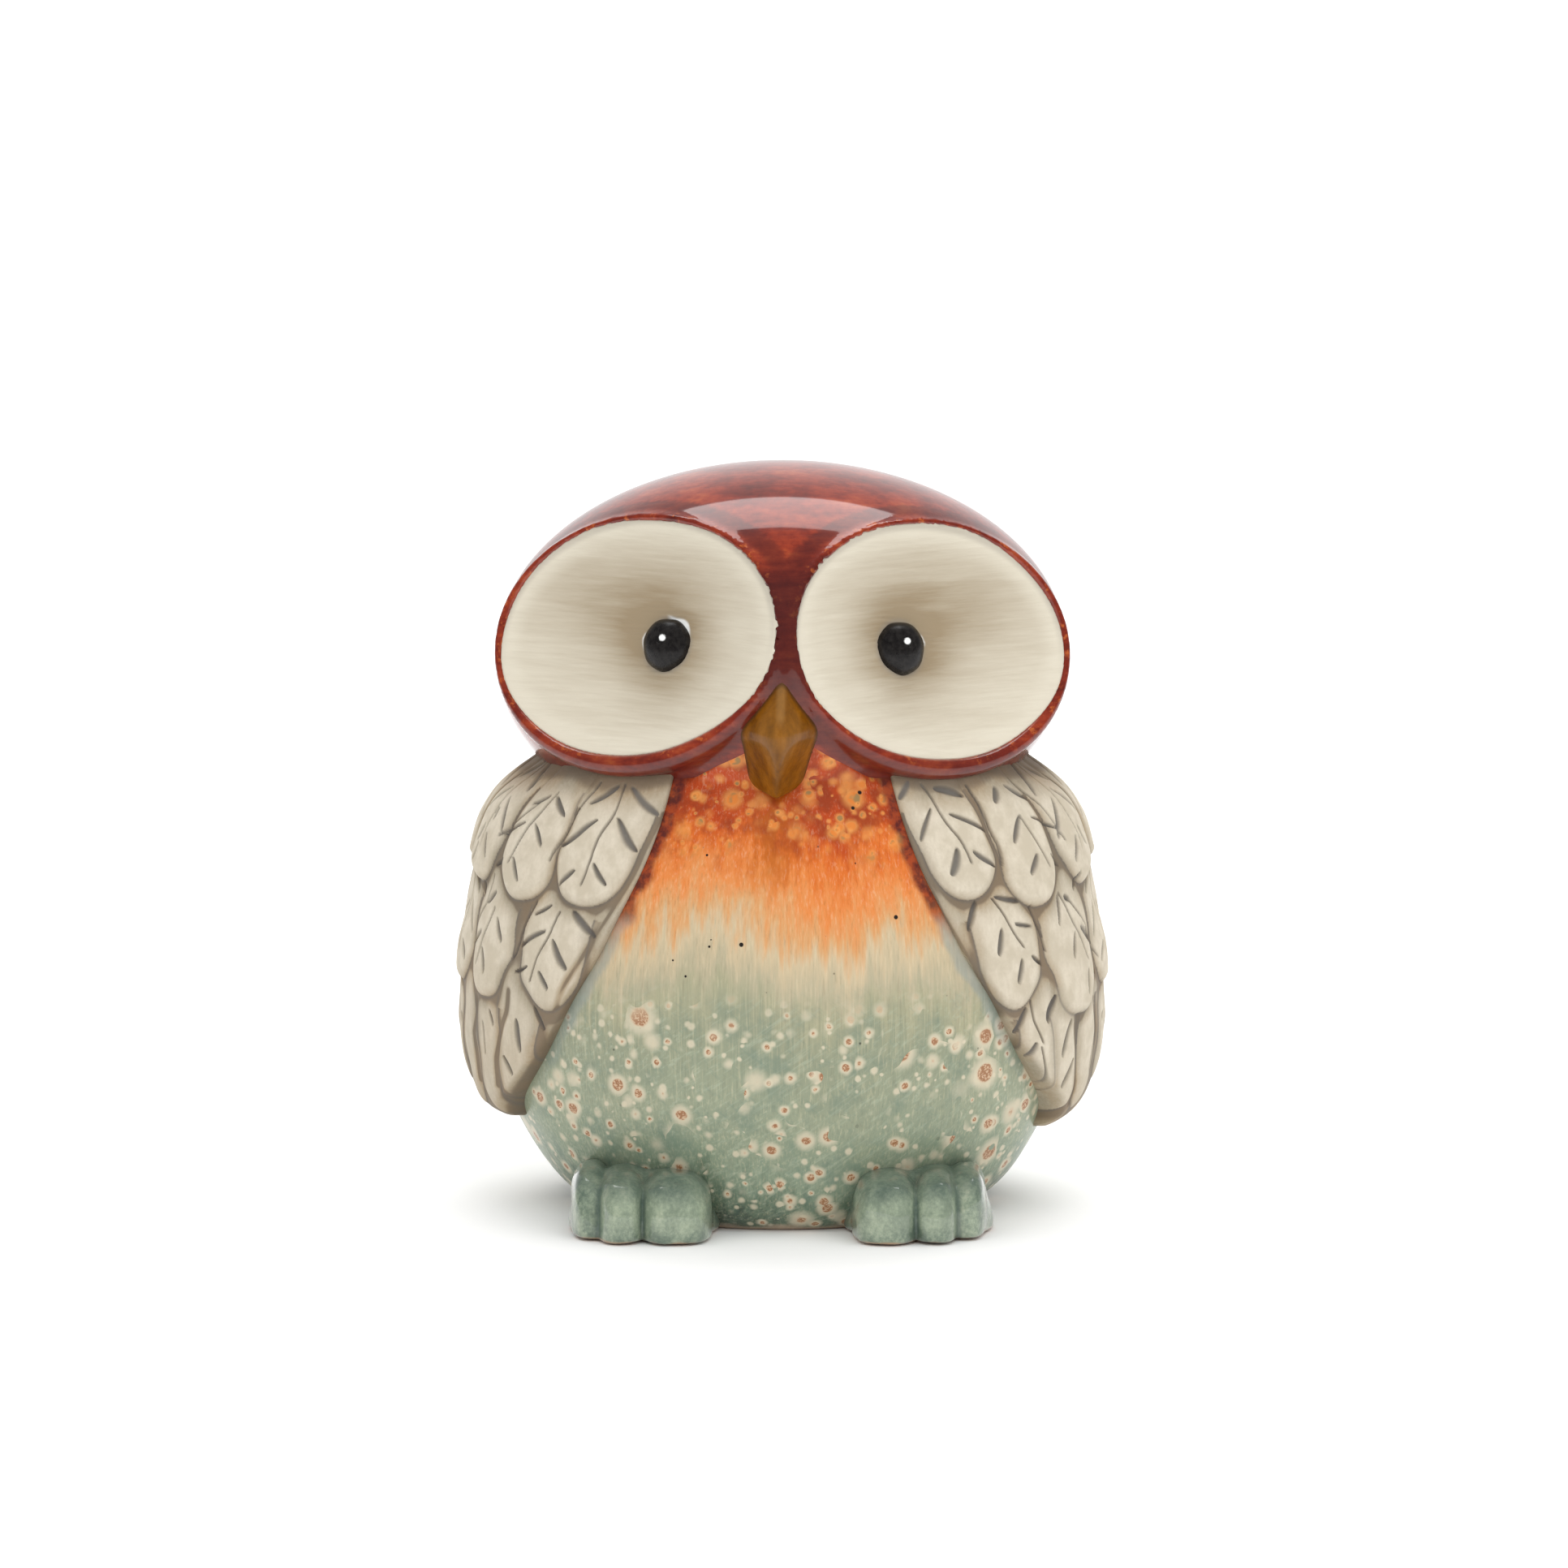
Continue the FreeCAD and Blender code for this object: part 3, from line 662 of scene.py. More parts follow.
def build_torso(material):
    columns, outer_rows = 400, 140
    angle = np.linspace(-math.pi, math.pi, columns, endpoint=False)
    zeros = np.zeros(columns)
    meet = meets_head(lambda z: torso_point(angle, z), 84.0, 106.0, 0.8)
    top_in = meets_head(lambda z: torso_point(angle, z, -WALL), 80.0, 106.0, 0.6)
    # At the front the clay climbs past the head's lower edge as a collar that narrows upward.
    reach = 0.5 * (half_width(98.0) * np.sin(np.abs(angle)) + 48 * np.abs(np.sin(angle)))
    top_out = np.where(np.abs(angle) < 1.0, np.maximum(meet, 112.0 - 0.66 * reach), meet)
    front = smooth_step(0.0, 2.5, top_out - meet) * smooth_step(0.58, 0.50, np.abs(angle))
    rows = []
    for t in np.linspace(0, 1, outer_rows):
        z = 0.35 + (top_out - 0.35) * t
        skin = torso_point(angle, z)
        near = ellipsoid(skin, HEAD, HEAD_RADII)
        tuck = smooth_step(top_out - 3.5, top_out, z)
        lift = 0.7 - 4.0 * tuck
        push = smooth_max(near * 0, lift - near, 1.0) * front * smooth_step(86.0, 93.0, z)
        push = push + np.minimum(lift - near, 0) * front * tuck
        skin = skin + outward(angle) * push[:, None]
        rows.append(skin + outward(angle) * 0.16 * wobble(skin, 26.0)[:, None] * min(1, 12 * t * (1 - t)))
    last = rows[-1]
    for t in (0.33, 0.66):
        rows.append(last * (1 - t) + torso_point(angle, top_in, -WALL) * t)
    for t in np.linspace(0, 1, 42):
        z = top_in * (1 - t) + 10.0 * t
        rows.append(torso_point(angle, z, -WALL - 0.6 * t))
    for t in np.linspace(0.12, 1, 7):
        wide = torso_point(angle, zeros + 7.2, -WALL - 1.5)
        rows.append(wide * (1 - t) + round_point(angle, HOLE_RADIUS + 0.4, 7.0) * t)
    for radius, z in (
        *((HOLE_RADIUS, z) for z in (6.6, 5.0, 3.4)),
        (HOLE_RADIUS + 0.4, RECESS_DEPTH),
        *((radius, RECESS_DEPTH) for radius in (19.0, 23.0, 27.0, RECESS_RADIUS - 0.6)),
        *((RECESS_RADIUS, z) for z in (RECESS_DEPTH - 0.5, 0.6)),
        (RECESS_RADIUS + 0.5, 0.05),
    ):
        rows.append(round_point(angle, radius, z))
    rim = torso_point(angle, zeros, -0.9)
    rim[:, 2] = 0.0
    for t in (0.25, 0.5, 0.75, 1.0):
        rows.append(round_point(angle, RECESS_RADIUS + 0.6, 0.0) * (1 - t) + rim * t)
    points = np.concatenate(rows)
    outside = np.repeat(np.arange(len(rows)), columns) < outer_rows
    bare = 0.7 + 0.35 * wobble(points, 9.0)
    x, y, z = points.T
    sag = 2.5 * np.exp(-(((x - 8.0) / 10.0) ** 2)) - 3.0 * np.exp(-(((x + 17.0) / 11.0) ** 2)) + 3.0
    sag += 2.0 * np.exp(-(((np.abs(x) - 33.0) / 5.0) ** 2))
    fields = {
        "bisque": np.where(outside, smooth_step(bare + 0.5, bare - 0.3, z), 1.0),
        # Painted shade under the eye rims and the head's lower edge.
        "head_overhang_shade": np.where(outside, painted_shade_under_head(points), 0.0),
        # Painted reflection low down and painted shade higher up, beside the wings' front edges.
        "edge": np.where(outside, wing_edge_sheen_and_shade(points), 0.0),
        "sag": sag * (y < 0),
        "drip": np.exp(-(((x + 2.0) / 5.5) ** 2)) * smooth_step(70.0, 84.0, z) * (y < 0),
    }
    faces = ring_faces(len(rows), columns, closed_rows=True)
    return make_piece("torso", points, faces, material, "bank", ["torso_shell"], fields)


def outward(angle):
    """Level unit vectors away from the owl's axis."""
    return np.stack([-np.sin(angle), -np.cos(angle), 0 * angle], -1)


def painted_shade_under_head(points):
    """Where shade is painted along the rims of the eyes and the head's lower edge."""
    rims = np.full(len(points), 9.0)
    for side in EYES:
        rims = np.minimum(rims, rim_ring(points, side))
    at_rim = smooth_step(1.8, 0.3, rims)
    at_edge = smooth_step(1.8, 0.2, ellipsoid(points, HEAD, HEAD_RADII))
    at_edge *= smooth_step(0.36, 0.60, np.abs(np.arctan2(points[:, 0], AXIS_Y - points[:, 1])))
    return np.clip(np.maximum(at_rim, at_edge), 0, 1) * 0.9


def wing_edge_sheen_and_shade(points):
    """A strip along the wings' front edges, for a painted blue-grey reflection low down and painted shade
    higher up.
    """
    x, y, z = points.T
    across = ROUND * np.arctan2(np.abs(x) / (half_width(z) + WING_SIDE), (AXIS_Y - y) / half_depth(z))
    gap = wing_front(z) - across + 0.4 * wobble(points, 7.0)
    strip = smooth_step(-3.0, -1.0, gap) * smooth_step(2.6, 1.0, gap)
    strip *= smooth_step(24.0, 50.0, z) * smooth_step(101.0, 97.0, z) * (y < AXIS_Y)
    return strip * (0.55 + 0.40 * smooth_step(64.0, 74.0, z))


# ---------------------------------------------------------------- wings

# Surface coordinates on a wing are across, the distance round from the middle of the front with
# ROUND to a radian, and up, the height. These are a wing's front and back edges: across by up.
ROUND = 60.0
wing_front = natural_spline(
    np.array([17.0, 22.0, 28.5, 36.4, 48.3, 58.5, 67.1, 76.9, 88.0, 98.0, 106.0]),
    np.array([72.0, 68.6, 60.2, 51.4, 42.9, 36.4, 32.5, 28.8, 26.2, 24.9, 24.2]),
)
wing_back = natural_spline(
    np.array([17.0, 22.0, 30.0, 42.0, 60.0, 80.0, 98.7, 106.0]),
    np.array([80.0, 86.0, 96.0, 108.0, 122.0, 134.0, 144.0, 147.0]),
)
ROW = 3

# Feathers in rows of three, the lowest row first: tip and root as (across, up), half width, and
# lift above the slab. Barbs are cuts with their two ends and half width; veins and furrows are paths.
# The front view shows all but the back feathers, so those get their cuts by rule.
BACK_FEATHERS = (
    ((86.0, 27.0), (92.0, 58.0), 5.4, 0.35),
    ((95.0, 34.0), (104.0, 58.0), 6.0, 0.30),
    ((106.0, 44.0), (116.0, 66.0), 6.4, 0.40),
    ((105.5, 52.5), (103.0, 78.0), 8.8, 0.90),
    ((122.0, 61.0), (121.0, 84.0), 8.2, 0.80),
    ((100.0, 73.5), (96.5, 101.0), 9.8, 1.55),
    ((119.5, 76.0), (117.0, 101.0), 9.8, 1.40),
    ((137.0, 84.0), (136.0, 104.0), 8.0, 1.40),
)
WINGS = {
    "left": {
        "feathers": (
            ((62.5, 22.5), (54.0, 58.0), 6.4, 0.25),
            ((70.8, 20.5), (67.0, 58.0), 4.9, 0.50),
            ((79.0, 22.5), (79.5, 58.0), 4.6, 0.30),
            ((49.0, 47.5), (46.0, 77.0), 8.7, 0.80),
            ((69.2, 47.5), (66.5, 77.0), 8.3, 0.95),
            ((86.5, 49.0), (85.0, 77.0), 8.4, 0.80),
            ((42.7, 69.9), (37.0, 101.0), 9.8, 1.45),
            ((61.2, 69.4), (56.5, 101.0), 9.2, 1.60),
            ((80.9, 72.0), (76.5, 101.0), 9.6, 1.45),
        ),
        "barbs": (
            (36.0, 95.0, 28.3, 90.0, 0.60), (38.1, 87.8, 30.9, 82.2, 0.55), (40.2, 79.7, 36.1, 75.1, 0.45),
            (39.4, 94.8, 45.5, 91.0, 0.45), (41.9, 87.4, 49.6, 82.0, 0.45), (44.3, 78.0, 48.2, 74.4, 0.35),
            (56.8, 92.1, 51.9, 87.8, 0.50), (60.2, 85.7, 55.7, 81.1, 0.40), (63.9, 78.7, 59.9, 73.6, 0.40),
            (59.1, 92.3, 64.6, 89.8, 0.30), (63.4, 85.5, 70.4, 82.1, 0.25), (67.3, 78.0, 71.0, 75.5, 0.28),
            (77.9, 86.5, 77.5, 83.7, 0.40), (70.7, 94.2, 70.6, 91.2, 0.35), (82.2, 79.3, 83.3, 75.4, 0.30),
            (43.3, 68.8, 37.4, 63.4, 0.50), (47.3, 62.3, 42.9, 56.0, 0.55), (50.1, 55.1, 47.4, 51.6, 0.42),
            (49.0, 70.2, 53.8, 67.2, 0.30), (49.7, 63.9, 57.0, 60.0, 0.40), (53.9, 55.9, 57.8, 53.6, 0.25),
            (66.4, 65.3, 63.7, 60.0, 0.45), (71.0, 58.2, 68.3, 52.6, 0.42), (72.1, 61.3, 76.4, 58.5, 0.30),
            (77.5, 72.0, 74.5, 68.3, 0.35), (68.6, 69.9, 71.8, 67.1, 0.40), (52.5, 47.5, 49.2, 42.9, 0.35),
            (57.8, 43.9, 55.8, 37.2, 0.50), (62.5, 35.5, 59.2, 31.4, 0.40), (66.7, 45.0, 66.0, 41.5, 0.35),
        ),
        "veins": (
            ((37.8, 95.2), (39.9, 85.2), (42.3, 74.8)),
            ((57.2, 92.8), (62.0, 85.0), (65.2, 77.4)),
            ((45.5, 95.2), (49.1, 86.5), (52.2, 78.8)),
            ((61.1, 91.4), (66.1, 86.1), (71.7, 81.6)),
            ((46.4, 68.5), (49.3, 61.2), (52.9, 52.9)),
            ((54.3, 70.2), (56.9, 62.6), (59.6, 56.8)),
            ((71.2, 73.4), (72.4, 66.7), (77.5, 59.2)),
            ((68.1, 66.7), (70.7, 60.9), (73.2, 54.5)),
            ((70.6, 41.7), (70.5, 38.4), (70.3, 34.3)),
        ),
        "furrows": (
            ((59.2, 49.7), (60.7, 45.2), (64.2, 38.6), (65.7, 34.0), (66.7, 28.3)),
            ((73.3, 46.3), (76.0, 38.2), (76.2, 27.7)),
            ((27.5, 90.2), (30.2, 79.6), (34.2, 70.3), (40.4, 57.8), (47.1, 45.6)),
        ),
    },
    "right": {
        "feathers": (
            ((60.5, 21.5), (51.0, 58.0), 5.4, 0.25),
            ((67.8, 20.5), (61.0, 58.0), 5.0, 0.50),
            ((76.2, 21.5), (74.0, 58.0), 4.9, 0.35),
            ((48.7, 47.8), (45.0, 77.0), 8.4, 0.80),
            ((70.0, 43.8), (64.5, 77.0), 9.8, 0.95),
            ((88.5, 48.0), (86.0, 77.0), 8.8, 0.80),
            ((40.4, 71.6), (34.5, 101.0), 8.4, 1.45),
            ((58.4, 68.4), (54.5, 101.0), 8.9, 1.60),
            ((79.0, 71.5), (75.0, 101.0), 10.4, 1.45),
        ),
        "barbs": (
            (30.2, 96.8, 27.1, 92.9, 0.60), (34.2, 90.7, 30.2, 84.7, 0.35), (37.5, 82.5, 34.8, 77.2, 0.65),
            (36.0, 94.7, 44.2, 92.6, 0.60), (38.9, 88.6, 46.6, 85.1, 0.35), (41.2, 81.6, 46.3, 78.5, 0.35),
            (55.0, 94.3, 51.4, 90.7, 0.60), (58.2, 88.0, 53.3, 82.1, 0.45), (59.7, 79.3, 56.2, 75.2, 0.42),
            (58.4, 94.4, 65.6, 91.0, 0.50), (61.7, 87.2, 69.7, 83.4, 0.25), (64.4, 79.3, 67.2, 76.3, 0.28),
            (40.5, 71.2, 37.3, 65.0, 0.40), (44.9, 65.1, 43.3, 59.3, 0.42), (49.2, 57.6, 47.9, 52.8, 0.42),
            (45.1, 71.9, 51.6, 70.9, 0.45), (49.0, 65.6, 53.9, 64.2, 0.35), (52.5, 58.0, 56.2, 56.0, 0.35),
            (69.0, 61.6, 66.8, 55.6, 0.32), (73.2, 53.1, 71.3, 47.9, 0.30), (71.6, 62.1, 77.3, 58.9, 0.50),
            (64.8, 70.0, 62.9, 64.0, 0.30), (77.3, 53.1, 79.4, 51.3, 0.30), (66.9, 69.1, 69.0, 68.0, 0.40),
            (51.4, 47.6, 48.1, 42.3, 0.50), (59.3, 49.1, 57.5, 43.0, 0.50), (53.9, 39.5, 52.0, 36.4, 0.40),
            (66.0, 43.1, 62.8, 34.9, 0.50), (68.1, 33.7, 64.2, 27.9, 0.40), (78.9, 36.1, 79.0, 33.6, 0.35),
            (75.2, 74.2, 71.6, 69.8, 0.30),
        ),
        "veins": (
            ((33.3, 95.9), (36.9, 88.5), (40.3, 79.8)),
            ((58.4, 88.0), (60.4, 83.2), (62.7, 77.1)),
            ((44.6, 71.4), (47.0, 66.1), (50.4, 60.0)),
            ((65.3, 70.0), (69.3, 63.0), (73.8, 55.5)),
            ((52.6, 48.5), (53.5, 44.0), (55.6, 39.3)),
            ((55.2, 38.3), (58.5, 29.8)),
            ((46.3, 94.8), (47.2, 89.5), (48.6, 82.5), (48.4, 78.8)),
            ((64.4, 95.3), (67.9, 89.1), (70.8, 81.0)),
            ((54.5, 69.1), (55.5, 64.6), (57.9, 58.9)),
            ((68.9, 67.9), (73.2, 63.5), (81.2, 55.3)),
        ),
        "furrows": (
            ((68.4, 43.3), (70.0, 34.2), (73.1, 22.7)),
            ((78.7, 46.3), (79.8, 38.4), (78.8, 29.8)),
            ((26.3, 88.9), (28.7, 79.3), (32.3, 69.0), (38.0, 57.0), (44.5, 45.8)),
        ),
    },
}


def segment_distance(across, up, start, end):
    """Distance to a straight stroke, and how far along it, as seen on the wing's face."""
    along = np.array(end) - np.array(start)
    t = ((across - start[0]) * along[0] + (up - start[1]) * along[1]) / (along @ along)
    t = np.clip(t, 0, 1)
    return np.hypot(across - start[0] - t * along[0], up - start[1] - t * along[1]), t


def feather_relief(across, up, side):
    """Relief height, and masks of the wash with its painted shade and of the incised lines with painted
    crease shade, at one wing's coordinates.
    """
    pick = np.random.default_rng(3)
    drawn = WINGS[side]
    drift = np.stack([across, up, 0 * up], -1)
    across = across + 0.35 * wobble(drift, 11.0)
    up = up + 0.35 * wobble(drift + 40.0, 13.0)
    ground = 0.12
    relief = np.full(across.shape, ground)
    wash = np.full(across.shape, 0.60)
    line = np.zeros(across.shape)
    crease_shade = np.zeros(across.shape)
    shown = drawn["feathers"]
    feathers = BACK_FEATHERS[:3] + shown[:ROW] + BACK_FEATHERS[3:5] + shown[ROW : 2 * ROW]
    feathers += BACK_FEATHERS[5:] + shown[2 * ROW :]
    for tip, root, half, lift in feathers:
        tip, root = np.array(tip), np.array(root)
        length = np.linalg.norm(tip - root)
        along = (tip - root) / length
        a = (across - root[0]) * along[0] + (up - root[1]) * along[1]
        c = (across - root[0]) * along[1] - (up - root[1]) * along[0]
        # The lowest row's feathers are narrow, with long pointed tips; the others' tips are round.
        narrow = lift < 0.6
        reach = half * (2.6 if narrow else 1.25)
        past = np.maximum(a - (length - reach), 0.0) / (reach / half)
        depth = half - np.hypot(past, c)
        body = np.clip(a / length, 0, 1.1)
        crown = (0.55 if narrow else 0.75) * np.clip(1 - (c / half) ** 2, 0, 1) * body
        height = lift * (0.25 + 0.75 * body**1.6) + crown
        height = ground + (height - ground) * np.sqrt(np.clip(depth / 1.5, 0, 1))
        over = (depth > 0) & (a > -4)
        top = over & (height >= relief - 0.3)
        # The wash is rubbed off a feather's crown; the crease beside it gets painted shade.
        shade = smooth_step(-3.6, -0.2, depth) * (depth <= 0) * (a > 0.3 * length)
        wash = np.maximum(wash, wash + 0.42 * shade)
        # A dark line in each feather's crease is painted shade.
        crease = smooth_step(0.45, 0.0, np.abs(depth + 0.15))
        crease_shade = np.where(a > 0.3 * length, np.maximum(crease_shade, crease), crease_shade)
        crease_shade = np.where(over & (depth > 0.6), 0.0, crease_shade)
        rub = smooth_step(0.0, 3.4, depth) * smooth_step(-0.1, 0.55, body)
        wash = np.where(top, 0.58 - 0.64 * rub, wash)
        if tip[0] > 78.0 and half > 5.0:
            line = np.where(top, feather_cuts(a, c, length, half, narrow, pick), line)
        relief = np.where(over, np.maximum(relief, height), relief)
    for *ends, half in drawn["barbs"]:
        line = np.maximum(line, leaf_cut(across, up, np.array(ends[:2]), np.array(ends[2:]), half * 1.5))
    for vein in drawn["veins"]:
        for start, end in zip(vein, vein[1:]):
            apart, _ = segment_distance(across, up, start, end)
            line = np.maximum(line, 0.70 * smooth_step(0.40, 0.14, apart))
    furrow = np.zeros(across.shape)
    for path in drawn["furrows"]:
        for start, end in zip(path, path[1:]):
            apart, _ = segment_distance(across, up, start, end)
            furrow = np.maximum(furrow, smooth_step(1.7, 0.1, apart))
    wash = np.clip(np.maximum(wash, 0.92 * furrow), 0, 1)
    # The line mask carries the incised lines and the painted shade in the creases.
    return relief - 0.85 * line - 0.35 * furrow, wash, np.maximum(line, 0.55 * crease_shade)


def feather_cuts(a, c, length, half, narrow, pick):
    """The rachis and the leaf-shaped barbs cut into one feather of the wing's back."""
    quill = np.abs(c - 0.25 * np.sin(a / 5 + pick.uniform(0, 6)))
    quill = smooth_step(0.42, 0.14, quill) * smooth_step(1.5, 4.0, a)
    cuts = 0.7 * quill * smooth_step(length * 0.80, length * 0.68, a)
    stations = ((0.30, 0.7), (0.55, 0.55)) if narrow else ((0.12, 0.9), (0.38, 0.95), (0.66, 0.6))
    for station, size in stations:
        for side in (-1, 1):
            start = np.array([station * length + pick.uniform(-0.8, 0.8), side * (0.16 * half + 0.4)])
            reach = 0.62 * half * size
            end = start + np.array([reach * 1.1, side * reach * pick.uniform(0.8, 1.1)])
            cuts = np.maximum(cuts, leaf_cut(a, c, start, end, pick.uniform(0.45, 0.8)))
    return cuts


def leaf_cut(a, c, start, end, half):
    """A groove that is widest in its middle and pointed at both ends."""
    span = end - start
    size = np.linalg.norm(span)
    along = ((a - start[0]) * span[0] + (c - start[1]) * span[1]) / size**2
    off = np.abs((a - start[0]) * span[1] - (c - start[1]) * span[0]) / size
    wide = half * np.sqrt(np.clip(1 - (2 * along - 1) ** 2, 0, 1)) + 0.05
    return smooth_step(1.35, 0.25, off / wide) * ((along > 0) & (along < 1))


def crowded_ends(t, share):
    """Fractions 0 to 1 moved closer together near both ends, by a share."""
    return (1 - share) * t + share * (0.5 - 0.5 * np.cos(math.pi * t))


EDGE_LEAN = 1.25
EDGE_SQUARENESS = 2.3
SEAT_DEPTH = 0.9
WING_FOOT = {"left": 20.8, "right": 18.3}
WING_TOP = 97.0


def build_wing(side, material):
    """A grid on the wing's outer face, curled to the belly at its edges, with a coarser grid behind."""
    stride = 6
    rows, columns = 43 * stride + 1, 59 * stride + 1
    toward_front = np.linspace(0, 1, columns)
    toward_front = 0.72 * toward_front + 0.28 * toward_front**3
    down = crowded_ends(np.linspace(0, 1, rows), 0.35)
    down, over = np.meshgrid(down, crowded_ends(toward_front, 0.2), indexing="ij")
    low = WING_FOOT[side]
    level = WING_TOP - down * (WING_TOP - low)
    front, back = wing_front(level), wing_back(level)
    across = front + (back - front) * over
    lip = meets_head(lambda z: wing_point(across[0], z, 1.0), 88.0, 106.0, 1.2)
    up = level + (lip - WING_TOP)[None, :] * (1 - down) ** 2
    up -= (1.1 * (1 - (2 * over - 1) ** 2) - 3.0 * over**6) * down**6

    # From the edges inward, profile rises from 0 on the belly to 1 on the wing's full thickness.
    relief, wash, line = feather_relief(across, up, side)
    slab = wing_point(across, up, 1.0) - wing_point(across, up, 0.0)
    thick = np.linalg.norm(slab, axis=-1)
    edge = np.minimum(across - front, back - across)
    edge = np.minimum(edge, (level - low) + 0.8 * np.minimum(np.abs(across - 73.0), 6) * down**8 * 0.2)
    outer_part = 1 - np.clip(edge / (0.9 + 0.36 * thick), 0, 1)
    profile = (1 - outer_part**EDGE_SQUARENESS) ** (1 / EDGE_SQUARENESS)

    # The slab leans backward, so the front edge's foot moves back to stand square to the belly.
    normal = surface_normal(across, up)
    round_way = wing_point(across + 0.5, up, 0.5) - wing_point(across - 0.5, up, 0.5)
    square = EDGE_LEAN * (slab * round_way).sum(axis=-1) / (round_way**2).sum(axis=-1)
    shift = square * (1 - profile) * smooth_step(10.0, 2.0, across - front)
    points = wing_point(across + shift, up, 0.0) - 0.5 * normal * (1 - profile)[..., None]
    points += slab * profile[..., None]

    # The feathers' relief, never so deep that the belly shows through.
    unevenness = 0.14 * wobble(points, 16.0)
    rise = np.maximum(relief - 1.35 + unevenness, 0.8 - (slab * normal).sum(axis=-1))
    points += normal * (rise * profile)[..., None]

    # Painted shade: the wash is darker in low places, along the edges and under the head. On the left wing
    # it is also darker towards the bottom.
    soft = blurred(relief, 8)
    wash = np.clip(wash + 0.9 * np.clip(soft - relief, -0.3, 0.5), 0, 1.2)
    wash = np.maximum(wash, 0.75 * smooth_step(3.0, 0.4, edge))
    wash = np.maximum(wash, 1.05 * smooth_step(10.0, 2.5, (lip[None, :] - up)))
    if side == "left":
        wash = np.clip(wash + 0.30 * smooth_step(62.0, 34.0, up), 0, 1.2)

    under = wing_point(across + square * (1 - over) ** 2, up, 0.0) - SEAT_DEPTH * normal
    under = under[::stride, ::stride]
    if side == "right":
        points[..., 0] *= -1
        under[..., 0] *= -1
    faces = wing_faces(rows, columns, stride)
    if side == "left":
        faces = [face[::-1] for face in faces]
    spare = np.zeros(under.shape[:2]).ravel()
    fields = {
        "wash": np.concatenate([wash.ravel(), spare + 0.8]),
        "line": np.concatenate([line.ravel(), spare]),
    }
    everything = np.concatenate([points.reshape(-1, 3), under.reshape(-1, 3)])
    name, node = f"{side}_wing_feathers", f"{side}_wing"
    return make_piece(name, everything, faces, material, "bank", [node], fields)


# How far the wing's face stands out at each height, as a share of WING_SIDE.
wing_girth = natural_spline(
    np.array([15.0, 18.3, 23.3, 30.4, 41.0, 55.0, 65.5, 72.6, 80.0, 86.6, 90.0, 93.7, 97.0, 101.0, 108.0]),
    np.array([0.5, 0.75, 0.96, 0.98, 0.96, 0.95, 0.93, 1.05, 1.25, 1.27, 1.14, 0.82, 0.48, 0.25, 0.1]),
)


def wing_point(across, up, out):
    """Points at surface coordinates: out 0 on the torso, 1 on the wing's outer face."""
    angle = across / ROUND
    girth = 1.0 + (wing_girth(up) - 1.0) * np.sin(angle) ** 4
    width = half_width(up) + WING_SIDE * out * girth
    depth = half_depth(up) + WING_FRONT * out
    return np.stack([-width * np.sin(angle), AXIS_Y - depth * np.cos(angle), up + 0 * angle], -1)


def surface_normal(across, up):
    step = 0.2
    one = wing_point(across + step, up, 1.0) - wing_point(across - step, up, 1.0)
    two = wing_point(across, up + step, 1.0) - wing_point(across, up - step, 1.0)
    normal = np.cross(two, one)
    return normal / np.linalg.norm(normal, axis=-1, keepdims=True)


def blurred(values, radius):
    """A box blur, done twice along each way."""
    kernel = np.ones(2 * radius + 1) / (2 * radius + 1)
    for _ in range(2):
        for axis in (0, 1):
            padded = np.pad(values, [(radius, radius) if k == axis else (0, 0) for k in (0, 1)], "edge")
            values = np.apply_along_axis(lambda row: np.convolve(row, kernel, "valid"), axis, padded)
    return values


def wing_faces(rows, columns, stride):
    """The outer grid, the coarser inner grid, and the strips that join their borders."""
    faces = []
    for i in range(rows - 1):
        for j in range(columns - 1):
            a = i * columns + j
            faces.append((a, a + 1, a + columns + 1, a + columns))
    start = rows * columns
    few_rows, few = (rows - 1) // stride + 1, (columns - 1) // stride + 1

    def outer(i, j):
        return i * columns + j

    def inner(i, j):
        return start + (i // stride) * few + j // stride

    for i in range(few_rows - 1):
        for j in range(few - 1):
            a = start + i * few + j
            faces.append((a, a + few, a + few + 1, a + 1))
    for j in range(0, columns - 1, stride):
        top = [outer(0, j + k) for k in range(stride + 1)]
        faces.append(tuple(top[::-1] + [inner(0, j), inner(0, j + stride)]))
        low = [outer(rows - 1, j + k) for k in range(stride + 1)]
        faces.append(tuple(low + [inner(rows - 1, j + stride), inner(rows - 1, j)]))
    for i in range(0, rows - 1, stride):
        near = [outer(i + k, 0) for k in range(stride + 1)]
        faces.append(tuple(near + [inner(i + stride, 0), inner(i, 0)]))
        far = [outer(i + k, columns - 1) for k in range(stride + 1)]
        faces.append(tuple(far[::-1] + [inner(i, columns - 1), inner(i + stride, columns - 1)]))
    return faces


# ---------------------------------------------------------------- head and eyes


def eye_axes(side):
    """The centre of an eye's plate and its long, short and outward directions."""
    eye = EYES[side]
    turn, rise, roll = (math.radians(eye[k]) for k in ("azimuth", "elevation", "roll"))
    out = np.array([math.sin(turn) * math.cos(rise), -math.cos(turn) * math.cos(rise), math.sin(rise)])
    level = np.array([math.cos(turn), math.sin(turn), 0.0])
    steep = np.cross(out, level)
    long = level * math.cos(roll) + steep * math.sin(roll)
    short = np.cross(out, long)
    weighted = HEAD_RADII**2 * out
    centre = HEAD + weighted * eye["plane"] / (weighted @ out)
    return centre, long, short, out


def eye_local(points, side):
    """Coordinates along, across and out of an eye's plate, and the distance from its ellipse."""
    centre, *axes = eye_axes(side)
    offset = points - centre
    u, v, w = (offset @ axis for axis in axes)
    return u, v, w, ellipse(u, v, *EYES[side]["size"])


